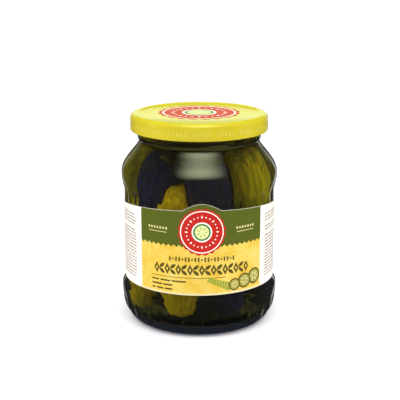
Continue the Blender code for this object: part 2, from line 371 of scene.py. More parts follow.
def pushed_out(outline: Sequence[Point], distance: float) -> list[Point]:
    """An outline moved sideways, to the right of its direction, with points on the axis kept on it.

    Args:
        outline: The points, in order.
        distance: How far they move.

    Returns:
        As many points, each moved along the outline's normal there.
    """
    moved = []
    for index, (radius, height) in enumerate(outline):
        before = outline[max(index - 1, 0)]
        after = outline[min(index + 1, len(outline) - 1)]
        along = Vector((after[0] - before[0], after[1] - before[1])).normalized()
        out = max(radius + along.y * distance, 0.0) if radius > 0.0 else 0.0
        moved.append((out, height - along.x * distance))
    return moved


# Finishes


@dataclass(frozen=True)
class Finish:
    """A finish: its name, and how it is put on a Principled surface."""

    name: str

    def material(self) -> Material:
        """A new material with this finish."""
        made = bpy.data.materials.new(self.name)
        made.use_nodes = True
        self.dress(made.node_tree, made.node_tree.nodes["Principled BSDF"])
        return made

    def dress(self, tree: NodeTree, surface: Node) -> None:
        """Sets the surface's sockets and adds the pattern nodes."""
        raise NotImplementedError

    @staticmethod
    def clouded(
        tree: NodeTree, surface: Node, place: NodeSocket, per_metre: float, detail: float, stops: Sequence
    ) -> Node:
        """Clouds the surface's colour.

        Args:
            tree: The material's nodes.
            surface: The Principled surface.
            place: Where a point of the piece is.
            per_metre: Clouds to a metre.
            detail: How many finer clouds lie in them.
            stops: The colours, as fill_ramp takes them.

        Returns:
            The cloud, which other patterns may follow.
        """
        cloud = add_node(tree, "TexNoise", {"Scale": per_metre, "Detail": detail}, {"Vector": place})
        tone = add_node(tree, "ValToRGB", None, {"Fac": cloud})
        fill_ramp(tone, stops)
        connect(tree, surface, {"Base Color": tone})
        return cloud

    @staticmethod
    def grained(
        tree: NodeTree,
        surface: Node,
        place: NodeSocket,
        size: float,
        detail: float,
        strength: float,
        depth: float,
    ) -> None:
        """Makes the surface uneven.

        Args:
            tree: The material's nodes.
            surface: The Principled surface.
            place: Where a point of the piece is.
            size: Width of the unevenness, in millimetres.
            detail: How much finer unevenness lies in it.
            strength: How much of it shows.
            depth: How deep it is, in millimetres.
        """
        grain = add_node(tree, "TexNoise", {"Scale": 1.0 / (size * MM), "Detail": detail}, {"Vector": place})
        bump = add_node(tree, "Bump", {"Strength": strength, "Distance": depth * MM}, {"Height": grain})
        connect(tree, surface, {"Normal": bump})


@dataclass(frozen=True)
class SodaLimeGlass(Finish):
    """Blown soda-lime container glass: clear with a breath of green, and slow waves that bend highlights."""

    tint: str = "F1F7F1"
    wave_mm: float = 16.0
    wave_depth_mm: float = 0.05

    def dress(self, tree: NodeTree, surface: Node) -> None:
        """Sets the glass and its slow waves."""
        set_surface(surface, Base_Color=linear(self.tint), Roughness=0.015, IOR=1.5, Transmission_Weight=1.0)
        place = add_node(tree, "TexCoord").outputs["Object"]
        self.grained(tree, surface, place, self.wave_mm, 1.0, 1.0, self.wave_depth_mm)


@dataclass(frozen=True)
class PickleBrine(Finish):
    """Vinegar brine that dill and gherkins have steeped in: clear, with a green-gold tint that deepens."""

    tint: str = "F4F3DC"
    depth_tint: str = "C6B962"
    density: float = 18.0

    def dress(self, tree: NodeTree, surface: Node) -> None:
        """Sets the clear liquid and what its depth takes from the light."""
        set_surface(surface, Base_Color=linear(self.tint), Roughness=0.0, IOR=1.33)
        set_surface(surface, Transmission_Weight=1.0, Specular_IOR_Level=0.1)
        deep = {"Color": linear(self.depth_tint), "Density": self.density}
        connect(tree, tree.nodes["Material Output"], {"Volume": add_node(tree, "VolumeAbsorption", deep)})


@dataclass(frozen=True)
class StovingEnamel(Finish):
    """Stoving enamel on tinplate: an even, deep colour under a hard gloss with the faintest orange peel."""

    light: str = "D0BD22"
    dark: str = "CAB71F"
    clouds_per_metre: float = 60.0
    peel_mm: float = 1.6
    peel_depth_mm: float = 0.02

    def dress(self, tree: NodeTree, surface: Node) -> None:
        """Sets the enamel, its slight unevenness and its peel."""
        set_surface(surface, IOR=1.5, Coat_Weight=0.35, Coat_Roughness=0.12)
        place = add_node(tree, "TexCoord").outputs["Object"]
        stops = ((0.35, self.dark), (0.65, self.light))
        cloud = self.clouded(tree, surface, place, self.clouds_per_metre, 3.0, stops)
        rough = add_node(tree, "MapRange", {"To Min": 0.26, "To Max": 0.36}, {"Value": cloud})
        connect(tree, surface, {"Roughness": rough})
        self.grained(tree, surface, place, self.peel_mm, 1.0, 0.25, self.peel_depth_mm)


@dataclass(frozen=True)
class Plastisol(Finish):
    """Cream PVC sealing compound: soft, matt and a little uneven."""

    light: str = "D9D3BE"
    dark: str = "C8C2AB"
    clouds_per_metre: float = 300.0

    def dress(self, tree: NodeTree, surface: Node) -> None:
        """Sets the compound and its mottle."""
        set_surface(surface, Roughness=0.6, IOR=1.52)
        place = add_node(tree, "TexCoord").outputs["Object"]
        self.clouded(tree, surface, place, self.clouds_per_metre, 2.0, ((0.3, self.dark), (0.7, self.light)))


@dataclass(frozen=True)
class CoatedPaper(Finish):
    """Wood-free label paper, coated and calendered: warm white with a low sheen and a trace of fibre."""

    light: str = "F8EEE6"
    dark: str = "F3E8DF"
    clouds_per_metre: float = 140.0
    fibre_mm: float = 0.7
    fibre_depth_mm: float = 0.03

    def dress(self, tree: NodeTree, surface: Node) -> None:
        """Sets the paper's cloudy white and its fibre."""
        set_surface(surface, Roughness=0.48, IOR=1.48)
        place = add_node(tree, "TexCoord").outputs["Object"]
        self.clouded(tree, surface, place, self.clouds_per_metre, 4.0, ((0.3, self.dark), (0.65, self.light)))
        self.grained(tree, surface, place, self.fibre_mm, 3.0, 0.3, self.fibre_depth_mm)


@dataclass(frozen=True)
class OffsetInk(Finish):
    """Offset litho ink under varnish: flat colour that lies a shade uneven on the paper."""

    colour: str
    spread: float = 0.06
    clouds_per_metre: float = 220.0

    def dress(self, tree: NodeTree, surface: Node) -> None:
        """Sets the ink and the slight cloud in its film."""
        set_surface(surface, Roughness=0.4, IOR=1.5, Specular_IOR_Level=0.3)
        place = add_node(tree, "TexCoord").outputs["Object"]
        cloud = add_node(tree, "TexNoise", {"Scale": self.clouds_per_metre, "Detail": 2.0}, {"Vector": place})
        reach = {"To Min": 1.0 - self.spread, "To Max": 1.0 + self.spread}
        film = add_node(tree, "MapRange", reach, {"Value": cloud})
        tint = add_node(tree, "HueSaturation", {"Color": linear(self.colour)}, {"Value": film})
        connect(tree, surface, {"Base Color": tint})


@dataclass(frozen=True)
class ClothPrint(Finish):
    """A printed cloth ground: corn yellow in soft patches, crossed by a fine slanting weave.

    The real screen is finer than the render can show, so the weave is drawn as coarse as it needs to be.
    """

    patch_mm: float = 11.0
    thread_mm: float = 1.1
    slants: Point = (38.0, -52.0)

    def dress(self, tree: NodeTree, surface: Node) -> None:
        """Sets the patches and the weave, which both lie in the label's own flat map."""
        set_surface(surface, Roughness=0.42, IOR=1.5, Specular_IOR_Level=0.25)
        flat = add_node(tree, "UVMap", {"uv_map": PrintSheet.MAP})
        size = {"Scale": PrintSheet.MAP_MM / self.patch_mm, "Detail": 5.0, "Roughness": 0.62}
        patches = add_node(tree, "TexNoise", size, {"Vector": flat})
        tone = add_node(tree, "ValToRGB", None, {"Fac": patches})
        fill_ramp(tone, ((0.32, "DBAE32"), (0.45, "E2BB46"), (0.56, "E4C45A"), (0.7, "E8CA76")))
        threads = []
        for slant in self.slants:
            turn = {"Rotation": (0.0, 0.0, math.radians(slant))}
            turned = add_node(tree, "Mapping", turn, {"Vector": flat})
            size = {"Scale": PrintSheet.MAP_MM / self.thread_mm / math.tau, "Distortion": 1.5, "Detail": 1.0}
            threads.append(add_node(tree, "TexWave", size, {"Vector": turned}).outputs["Fac"])
        crossed = add_node(tree, "Math", {"operation": "MULTIPLY"}, dict(enumerate(threads)))
        depth = add_node(tree, "MapRange", {"To Min": 1.03, "To Max": 0.9}, {"Value": crossed})
        tint = add_node(tree, "HueSaturation", None, {"Value": depth, "Color": tone})
        connect(tree, surface, {"Base Color": tint})


@dataclass(frozen=True)
class GherkinSkin(Finish):
    """Pickled gherkin skin: blue-black through olive to mustard, streaked lengthwise, with pale warts; each
    gherkin's tone is how ripe it is together with painted light and shade.
    """

    streak_mm: float = 2.0
    mottle_mm: float = 7.0
    # Blue-black at the low end is painted shade; the bright mustard end is partly ripe colour and partly
    # painted light.
    unripe_to_ripe: tuple[tuple[float, str], ...] = (
        (0.0, "201A42"),
        (0.18, "2C2420"),
        (0.38, "564812"),
        (0.6, "847808"),
        (0.8, "B0A108"),
        (1.0, "CCA304"),
    )
    scar: str = "2A1D10"

    def dress(self, tree: NodeTree, surface: Node) -> None:
        """Sets the colour by each gherkin's tone, how ripe it is together with painted light and shade, and
        adds streaks, mottle, warts and scars along it.
        """
        set_surface(surface, IOR=1.42, Specular_IOR_Level=0.15)
        along = add_node(tree, "Attribute", {"attribute_name": "skin"}).outputs["Vector"]
        names = ("ripeness", "wart", "scar")
        ripe, wart, scar = (add_node(tree, "Attribute", {"attribute_name": n}).outputs["Fac"] for n in names)
        size = {"Scale": 1.0 / (self.mottle_mm * MM), "Detail": 4.0, "Roughness": 0.6}
        mottle = add_node(tree, "TexNoise", size, {"Vector": along})
        reach = {"From Min": 0.3, "From Max": 0.7, "To Min": -0.12, "To Max": 0.12, "clamp": False}
        shifted = add_node(tree, "MapRange", reach, {"Value": mottle})
        ripeness = add_node(tree, "Math", {"operation": "ADD"}, {0: ripe, 1: shifted})
        tone = add_node(tree, "ValToRGB", None, {"Fac": ripeness})
        fill_ramp(tone, self.unripe_to_ripe)
        stretched = add_node(tree, "Mapping", {"Scale": (1.0, 1.0, 0.1)}, {"Vector": along})
        size = {"Scale": 1.0 / (self.streak_mm * MM), "Detail": 3.0, "Roughness": 0.55}
        streaks = add_node(tree, "TexNoise", size, {"Vector": stretched})
        reach = {"From Min": 0.4, "From Max": 0.72, "To Min": 0.78, "To Max": 1.45}
        streak_depth = add_node(tree, "MapRange", reach, {"Value": streaks})
        wart_depth = add_node(tree, "MapRange", {"To Min": 1.0, "To Max": 1.35}, {"Value": wart})
        depth = add_node(tree, "Math", {"operation": "MULTIPLY"}, {0: streak_depth, 1: wart_depth})
        streaked = add_node(tree, "HueSaturation", None, {"Value": depth, "Color": tone})
        dried = {"data_type": "RGBA", 7: linear(self.scar)}
        scarred = add_node(tree, "Mix", dried, {0: scar, 6: streaked})
        rough = add_node(tree, "MapRange", {"To Min": 0.3, "To Max": 0.5}, {"Value": streaks})
        connect(tree, surface, {"Base Color": scarred.outputs[2], "Roughness": rough})


@dataclass(frozen=True)
class PickledMatter(Finish):
    """Steeped herb, clove or seed: one dull colour broken by a small mottle."""

    light: str
    dark: str
    grain_mm: float = 1.5

    def dress(self, tree: NodeTree, surface: Node) -> None:
        """Sets the two-tone mottle."""
        set_surface(surface, Roughness=0.5, IOR=1.42)
        place = add_node(tree, "TexCoord").outputs["Object"]
        stops = ((0.35, self.dark), (0.65, self.light))
        self.clouded(tree, surface, place, 1.0 / (self.grain_mm * MM), 3.0, stops)


@dataclass(frozen=True)
class MattPaint(Finish):
    """Dead matt studio paint: no gloss at all, with a little glow that stands for light from all round."""

    colour: Colour
    glow: Colour
    glow_strength: float
    roughness: float

    def dress(self, tree: NodeTree, surface: Node) -> None:
        """Sets the paint and its glow."""
        set_surface(surface, Base_Color=self.colour, Roughness=self.roughness, Specular_IOR_Level=0.0)
        set_surface(surface, Emission_Color=self.glow, Emission_Strength=self.glow_strength)


class Ink(Enum):
    """The inks of the label and the cap, each with its colour."""

    GREEN = "565F15"
    YELLOW = "F9D558"
    CREAM = "E4D29A"
    RED = "C4190F"
    WHITE = "FBF6EC"
    OLIVE = "5A4E17"
    GREY = "8F8283"
    RIND = "3F7A33"
    FLESH = "DCE3A0"
    SEED = "B9BE6B"
    SPRIG = "8A9A2C"
    PULP = "A79A45"
    PALE = "D9CE8E"
    FAINT = "D3C54C"

    def material(self) -> Material:
        """The ink as a finish, or the cloth print for the yellow ground, made once."""
        finish = OffsetInk(f"ink_{self.name.lower()}", self.value)
        if self is Ink.YELLOW:
            finish = ClothPrint("cloth_print_yellow")
        return bpy.data.materials.get(finish.name) or finish.material()


# The glass


@dataclass(frozen=True)
class JarForm:
    """The drawn form of the glass, in millimetres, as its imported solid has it."""

    belly_radius: float = 48.6
    panel_radius: float = 47.0
    bulge_radius: float = 49.1
    neck_radius: float = 37.2
    bead_radius: float = 38.2
    finish_radius: float = 39.4
    foot_radius: float = 37.6
    foot_inner_radius: float = 34.8
    push_up_radius: float = 24.0
    lip_height: float = 129.3
    finish_low: float = 121.0
    groove_height: float = 119.0
    bead_height: float = 117.0
    bead_half: float = 0.7
    shoulder_top: float = 114.4
    shoulder_low: float = 94.5
    belly_low: float = 91.2
    panel_top: float = 83.0
    flutes_low: float = 74.0
    panel_low: float = 28.2
    bulge_top: float = 22.5
    bulge_low: float = 18.0
    wall: float = 2.8
    lip_round: float = 1.3
    floor_corner: float = 11.0
    floor_edge: float = 5.4
    floor_middle: float = 8.0
    push_up: float = 3.8
    shoulder_fullness: float = 1.3

    def shoulder(self, top: Point, low: Point, count: int) -> list[Point]:
        """Points after top down a shoulder that flares at once and meets the belly upright."""
        flare = [math.sin(share * math.pi / 2) ** self.shoulder_fullness for share in shares(count)]
        return [part_way(top, low, across, up) for across, up in zip(flare, shares(count))]

    def outside(self) -> list[Point]:
        """Outline from the top of the lip, down the outside, to the middle of the push-up."""
        lip = (self.finish_radius - self.lip_round, self.lip_height - self.lip_round)
        bead_top = (self.bead_radius, self.bead_height + self.bead_half)
        bead_low = (self.bead_radius, self.bead_height - self.bead_half)
        finish_low = (self.finish_radius, self.finish_low)
        neck = (self.neck_radius, self.shoulder_top)
        groove = (self.neck_radius, self.groove_height)
        belly = (self.belly_radius, self.belly_low)
        panel_top = (self.panel_radius, self.panel_top)
        panel_low = (self.panel_radius, self.panel_low)
        heel_half = (self.bulge_radius - self.foot_radius, self.bulge_low)
        push_half = (self.foot_inner_radius - self.push_up_radius, self.push_up)
        return [
            *rounded(lip, (self.lip_round, self.lip_round), 90.0, 0.0, 5),
            *straight((self.finish_radius, lip[1]), finish_low, 14),
            *s_curve(finish_low, groove, 6),
            *s_curve(groove, bead_top, 4),
            bead_low,
            *s_curve(bead_low, neck, 5),
            *self.shoulder(neck, (self.belly_radius, self.shoulder_low), 26),
            belly,
            *s_curve(belly, panel_top, 10),
            *straight(panel_top, (self.panel_radius, self.flutes_low), 5),
            panel_low,
            *s_curve(panel_low, (self.bulge_radius, self.bulge_top), 8),
            (self.bulge_radius, self.bulge_low),
            *rounded((self.foot_radius, self.bulge_low), heel_half, 0.0, -90.0, 22),
            (self.foot_inner_radius, 0.0),
            *rounded((self.push_up_radius, 0.0), push_half, 0.0, 90.0, 7),
            (0.0, self.push_up),
        ]

    def inside(self) -> list[Point]:
        """Outline from the middle of the floor up the inside to the lip."""
        outer = (self.neck_radius, self.belly_radius, self.panel_radius, self.bulge_radius)
        neck, belly, panel, bulge = (radius - self.wall for radius in outer)
        corner = (bulge - self.floor_corner, self.floor_edge + self.floor_corner)
        shoulder_top = (neck, self.shoulder_top - self.wall)
        lip_low = (neck, self.lip_height - self.lip_round)
        lip = (neck + self.lip_round, lip_low[1])
        return [
            (0.0, self.floor_middle),
            (corner[0], self.floor_edge),
            *rounded(corner, (self.floor_corner, self.floor_corner), -90.0, 0.0, 9),
            (bulge, self.bulge_top),
            *s_curve((bulge, self.bulge_top), (panel, self.panel_low), 5),
            (panel, self.panel_top),
            *s_curve((panel, self.panel_top), (belly, self.belly_low), 6),
            *reversed(self.shoulder(shoulder_top, (belly, self.shoulder_low), 16)),
            shoulder_top,
            *straight(shoulder_top, (neck, self.shoulder_top), 2),
            lip_low,
            *rounded(lip, (self.lip_round, self.lip_round), 180.0, 90.0, 4),
            (self.finish_radius - self.lip_round, self.lip_height),
        ]


@dataclass(frozen=True)
class FluteBand:
    """A band of upright flutes pressed in the glass, in millimetres."""

    low: float
    top: float
    depth: float
    end_power: float = 0.6


@dataclass
class GlassJar:
    """The hollow jar: turned, then pressed with flutes, closure starts and mould seams."""

    form: JarForm = JarForm()
    upper_flutes: FluteBand = FluteBand(low=74.0, top=91.5, depth=0.9)
    heel_flutes: FluteBand = FluteBand(low=2.0, top=18.5, depth=0.8)
    flute_count: int = 30
    turn_steps: int = 240
    start_count: int = 6
    start_span: float = 38.0
    start_reach: float = 1.2
    start_low: float = 124.6
    start_top: float = 126.6
    start_fall: float = 1.0
    start_end_power: float = 0.3
    seam_reach: float = 0.12
    seam_half_width: float = 0.45

    def build(self) -> Object:
        """Builds the jar's mesh and gives it its glass.

        Returns:
            The glass piece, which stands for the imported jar.
        """
        jar = turn_outline("jar_glass", self.form.inside() + self.form.outside(), self.turn_steps)
        self.press(jar)
        deliver(jar, 50.0, SodaLimeGlass("soda_lime_glass").material())
        hide_from(jar, "shadow")
        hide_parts("jar")
        return jar

    def wall_radius(self, height: float) -> float:
        """Radius of the plain outside at a height, read off its outline."""
        outline = self.form.outside()
        for (upper_r, upper_z), (lower_r, lower_z) in zip(outline, outline[1:]):
            if upper_z >= height >= lower_z and upper_z > lower_z:
                return upper_r + (lower_r - upper_r) * (upper_z - height) / (upper_z - lower_z)
        return self.form.foot_radius

    def press(self, jar: Object) -> None:
        """Moves the outer wall's vertices in for the flutes and out for the starts and seams."""
        plain = {}
        for vertex in jar.data.vertices:
            height = vertex.co.z / MM
            key = round(height, 3)
            if key not in plain:
                plain[key] = self.wall_radius(height)
            radius = math.hypot(vertex.co.x, vertex.co.y) / MM
            if radius < plain[key] - self.form.wall / 2:
                continue
            angle = math.atan2(vertex.co.y, vertex.co.x)
            change = self.flute_change(angle, height) + self.seam_change(angle, height)
            drop = 0.0
            if abs(radius - self.form.finish_radius) < 0.01 and self.start_low < height < self.start_top:
                reach, drop = self.start_change(angle)
                change += reach
            scale = (radius + change) / radius
            vertex.co = Vector((vertex.co.x * scale, vertex.co.y * scale, (height - drop) * MM))

    def flute_change(self, angle: float, height: float) -> float:
        """How far the wall moves at a flute: a hollow between two sharp ribs, fading out at both ends."""
        for band in (self.upper_flutes, self.heel_flutes):
            if band.low < height < band.top:
                share = (height - band.low) / (band.top - band.low)
                fade = math.sin(share * math.pi) ** band.end_power
                return -band.depth * fade * abs(math.sin(self.flute_count * angle / 2))
        return 0.0

    def seam_change(self, angle: float, height: float) -> float:
        """How far the wall stands out at the two mould seams, left and right."""
        if height > self.form.finish_low:
            return 0.0
        across = abs(math.sin(angle)) * self.form.panel_radius
        return self.seam_reach * max(0.0, 1.0 - across / (2 * self.seam_half_width))

    def start_change(self, angle: float) -> Point:
        """Reach and drop of the sloping start that the cap's lugs turn under, both 0 between two starts."""
        along = math.degrees(angle) % (360.0 / self.start_count)
        if along > self.start_span:
            return 0.0, 0.0
        share = along / self.start_span
        reach = self.start_reach * math.sin(min(share, 1.0 - share) * math.pi) ** self.start_end_power
        return reach, self.start_fall * (share - 0.5)


# The cap


@dataclass
class TwistCap:
    """The pressed cap: a drawn shell with a rolled curl, a ring of sealing compound, and its printing."""

    turn_steps: int = 216
    radius: float = 42.65
    low: float = 120.9
    top: float = 131.4
    sheet: float = 0.5
    corner: float = 3.0
    rim_radius: float = 39.9
    panel_radius: float = 36.6
    panel_drop: float = 0.7
    panel_step: float = 1.2
    draft: float = 0.15
    curl_radius: float = 0.85
    curl_rise: float = 0.9
    lug_count: int = 6
    lug_span: float = 11.0
    lug_reach: float = 0.9
    lug_height: float = 2.0
    compound_low: float = 129.4
    seal_radius: float = 25.5
    seal_middle: Point = (0.0, 2.5)
    mark_height: float = 125.0
    mark_pitch: float = 2.4

    def build(self) -> list[Object]:
        """Builds the shell, the compound and the printing, the shell first."""
        return [self.shell(), self.compound(), self.top_print(), self.skirt_print()]

    def outline(self) -> list[Point]:
        """Outline of the sheet from the middle of the top, out, down the skirt, round the curl and back."""
        panel_top = self.top - self.panel_drop
        step_low = (self.panel_radius, panel_top)
        step_top = (self.panel_radius + self.panel_step, self.top)
        curl = (self.radius - self.curl_radius, self.low + self.curl_radius)
        corner = (self.radius - self.corner, self.top - self.corner)
        corner_half = (self.corner - self.draft, self.corner)
        inner_half = (self.corner - self.draft - self.sheet, self.corner - self.sheet)
        inner = self.radius - self.draft - self.sheet
        return [
            (0.0, panel_top),
            (self.panel_radius * 0.5, panel_top),
            step_low,
            *(part_way(step_low, step_top, share, ease(share)) for share in shares(5)),
            (self.rim_radius, self.top),
            *rounded(corner, corner_half, 80.0, 0.0, 9),
            *rounded(curl, (self.curl_radius, self.curl_radius), 30.0, -180.0, 14),
            (curl[0] - self.curl_radius, curl[1] + self.curl_rise),
            (inner, curl[1] + 2 * self.curl_rise),
            (inner, corner[1]),
            *rounded(corner, inner_half, 0.0, 80.0, 5),
            (step_top[0], self.top - self.sheet),
            (step_low[0], panel_top - self.sheet),
            (0.0, panel_top - self.sheet),
        ]

    def shell(self) -> Object:
        """The drawn and enamelled shell, its lugs pressed in."""
        shell = turn_outline("cap_shell", self.outline(), self.turn_steps)
        curl_inner = self.radius - 2 * self.curl_radius + 0.01
        for vertex in shell.data.vertices:
            radius = math.hypot(vertex.co.x, vertex.co.y) / MM
            if radius > curl_inner or vertex.co.z / MM > self.low + self.lug_height:
                continue
            angle = math.degrees(math.atan2(vertex.co.y, vertex.co.x))
            along = (angle + self.lug_span / 2) % (360.0 / self.lug_count)
            if along <= self.lug_span:
                press = self.lug_reach * math.sin(along / self.lug_span * math.pi) ** 0.5
                scale = (radius - press) / radius
                vertex.co = Vector((vertex.co.x * scale, vertex.co.y * scale, vertex.co.z))
        deliver(shell, 40.0, StovingEnamel("stoving_enamel_yellow").material())
        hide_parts("cap")
        return shell

    def compound(self) -> Object:
        """The ring of sealing compound between the cap and the lip."""
        high = self.top - self.sheet - 0.1
        inner, outer = self.panel_radius + self.panel_step - 0.2, self.rim_radius - 0.6
        half = ((outer - inner) / 2, high - self.compound_low)
        curve = rounded(((inner + outer) / 2, high), half, 180.0, 360.0, 8)
        ring = turn_outline("cap_compound", [(inner, high), *curve, (inner, high)], 144)
        return deliver(ring, 35.0, Plastisol("sealing_compound").material())

    def top_print(self) -> Object:
        """The seal printed in the middle of the top."""
        return PrintSheet("cap_seal", Seal(self.seal_radius, self.seal_middle).shapes()).laid_flat(
            self.top - self.panel_drop
        )

    def skirt_print(self) -> Object:
        """Groups of faint bars round the skirt, each with a lozenge, a shade lighter than the enamel."""
        shapes = []
        reach = self.radius * math.pi
        for index in range(int(2 * reach / self.mark_pitch)):
            middle = (-reach + (index + 0.5) * self.mark_pitch, self.mark_height)
            if index % 6 == 2:
                shapes.append(InkShape(Ink.FAINT, Form.LOZENGE, middle, (1.9, 3.0)))
            elif index % 6 != 5:
                shapes.append(InkShape(Ink.FAINT, Form.BAR, middle, (0.9, 2.6)))
        return PrintSheet("cap_skirt_marks", shapes).wrapped(self.radius - 0.02, 0.0)


# Printing, made of thin closed shapes of ink


class Form(Enum):
    """The flat shapes that the printing is made of."""

    DISC = "disc"
    DOT = "dot"
    BAR = "bar"
    LOZENGE = "lozenge"
    LEAF = "leaf"
    SCALLOP = "scallop"
    RING = "ring"


@dataclass(frozen=True)
class InkShape:
    """One printed shape, its middle, width and height in millimetres and its turn in degrees."""

    ink: Ink
    form: Form
    middle: Point
    size: Point
    turn: float = 0.0
    layer: int = 1


class MasterShapes:
    """The flat forms, each modelled once at a size of 1, which every printed shape copies."""

    CORNERS = {Form.DISC: 56, Form.DOT: 12, Form.LOZENGE: 4, Form.LEAF: 18, Form.SCALLOP: 160, Form.RING: 72}
    SCALLOPS = 20
    SCALLOP_DEPTH = 0.07
    RING_WIDTH = 0.024
    LEAF_POWER = 2.4

    def __init__(self) -> None:
        """Models every form."""
        self.forms = {form: self.model(form) for form in Form}

    def model(self, form: Form) -> Object:
        """Models one form in the XY plane, facing +Z.

        Args:
            form: The form.

        Returns:
            Its master shape.
        """
        name = f"master_{form.value}"
        if form is Form.BAR:
            return new_object(name, bpy.ops.mesh.primitive_plane_add, size=1.0)
        fill = "NOTHING" if form is Form.RING else "TRIFAN"
        sizes = {"vertices": self.CORNERS[form], "radius": 0.5, "fill_type": fill}
        master = new_object(name, bpy.ops.mesh.primitive_circle_add, **sizes)
        if form is Form.RING:
            inner = 1.0 - 2 * self.RING_WIDTH
            with editing(master):
                bpy.ops.mesh.extrude_region_move()
                bpy.ops.transform.resize(value=(inner, inner, 1.0))
                face_outwards()
        for vertex in master.data.vertices:
            vertex.co = self.shaped(form, vertex.co)
        return master

    def shaped(self, form: Form, point: Vector) -> Vector:
        """Where a point of the circle goes in its form."""
        if form is Form.LEAF:
            pinch = 1.0 - (2.0 * abs(point.x)) ** self.LEAF_POWER
            return Vector((point.x, point.y * 0.5 + point.y * pinch * 0.5, 0.0))
        if form is Form.SCALLOP and point.length > 0.1:
            angle = math.atan2(point.y, point.x)
            return point * (1.0 - self.SCALLOP_DEPTH * (1.0 - abs(math.sin(self.SCALLOPS * angle / 2))))
        return point.copy()


@dataclass
class PrintSheet:
    """A sheet of printing: flat shapes joined by their inks, then laid flat or wrapped round the axis."""

    MAP = "Flat"
    MAP_MM = 100.0
    MASTERS = None

    name: str
    shapes: Sequence[InkShape]
    layer_step: float = 0.02
    slice_width: float = 1.5

    def joined(self) -> Object:
        """Copies a master for each shape and joins the copies, each with its ink's material index."""
        if PrintSheet.MASTERS is None:
            PrintSheet.MASTERS = MasterShapes()
        inks = list(dict.fromkeys(shape.ink for shape in self.shapes))
        copies = []
        for shape in self.shapes:
            place = Matrix.Translation(Vector((*shape.middle, shape.layer * self.layer_step)) * MM)
            turn = Matrix.Rotation(math.radians(shape.turn), 4, "Z")
            size = Matrix.Diagonal((shape.size[0] * MM, shape.size[1] * MM, 1.0, 1.0))
            copy = copy_at(self.MASTERS.forms[shape.form], place @ turn @ size)
            faces = copy.data.polygons
            faces.foreach_set("material_index", [inks.index(shape.ink)] * len(faces))
            for ink in inks:
                copy.data.materials.append(ink.material())
            copies.append(copy)
        return join(self.name, copies)

    def laid_flat(self, height: float) -> Object:
        """Lays the printing on a level face at a height, in millimetres, with its thickness."""
        sheet = self.joined()
        sheet.data.transform(Matrix.Translation((0.0, 0.0, height * MM)))
        return self.inked(sheet)

    def wrapped(self, radius: float, middle: float) -> Object:
        """Wraps the printing round the axis, as wrap does, with its thickness."""
        sheet = self.joined()
        self.slice(sheet)
        wrap(sheet, radius, middle)
        return self.inked(sheet)

    def slice(self, sheet: Object) -> None:
        """Cuts the flat sheet into upright strips, so that it can follow the curve."""
        places = [vertex.co.x for vertex in sheet.data.vertices]
        low, high = min(places), max(places)
        count = int((high - low) / (self.slice_width * MM))
        with editing(sheet):
            for index in range(1, count + 1):
                cut = (low + index * (high - low) / (count + 1), 0.0, 0.0)
                bpy.ops.mesh.select_all(action="SELECT")
                bpy.ops.mesh.bisect(plane_co=cut, plane_no=(1.0, 0.0, 0.0))

    @staticmethod
    def inked(sheet: Object) -> Object:
        """Gives the sheet the thickness of its ink, outwards, and rides it on the jar."""
        thicken(sheet, INK_FILM)
        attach(sheet, BODY)
        return sheet


@dataclass
class Seal:
    """A round seal of generic design: a scalloped edge, a ring of dots, and a slice of cucumber in it."""

    radius: float
    middle: Point
    dot_count: int = 24
    seed_count: int = 7

    def shapes(self) -> list[InkShape]:
        """The seal's shapes, the largest lowest."""
        width = 2 * self.radius
        rounds = (
            (Ink.RED, Form.SCALLOP, 1.0, 2),
            (Ink.WHITE, Form.RING, 0.9, 3),
            (Ink.WHITE, Form.DISC, 0.42, 3),
            (Ink.RIND, Form.DISC, 0.36, 4),
            (Ink.FLESH, Form.DISC, 0.29, 5),
        )
        shapes = [
            InkShape(ink, form, self.middle, (width * share, width * share), 0.0, layer)
            for ink, form, share, layer in rounds
        ]
        for index in range(self.dot_count):
            form, size = (Form.DOT, (0.03, 0.03)) if index % 3 else (Form.LOZENGE, (0.075, 0.035))
            shapes.append(self.spoke(Ink.WHITE, form, 0.32, size, index / self.dot_count, 3))
        for index in range(self.seed_count):
            shapes.append(self.spoke(Ink.SEED, Form.LEAF, 0.08, (0.08, 0.032), index / self.seed_count, 6))
        return shapes

    def spoke(self, ink: Ink, form: Form, out: float, size: Point, turn: float, layer: int) -> InkShape:
        """A shape that lies along a spoke of the seal.

        Args:
            ink: Its ink.
            form: Its form.
            out: How far out it is, as a share of the seal's width.
            size: Its width and height, in the same shares.
            turn: The spoke, as a share of a full turn.
            layer: Its layer.

        Returns:
            The shape.
        """
        width = 2 * self.radius
        angle = math.tau * turn
        reach = width * out
        place = (self.middle[0] + reach * math.cos(angle), self.middle[1] + reach * math.sin(angle))
        return InkShape(ink, form, place, (width * size[0], width * size[1]), math.degrees(angle), layer)


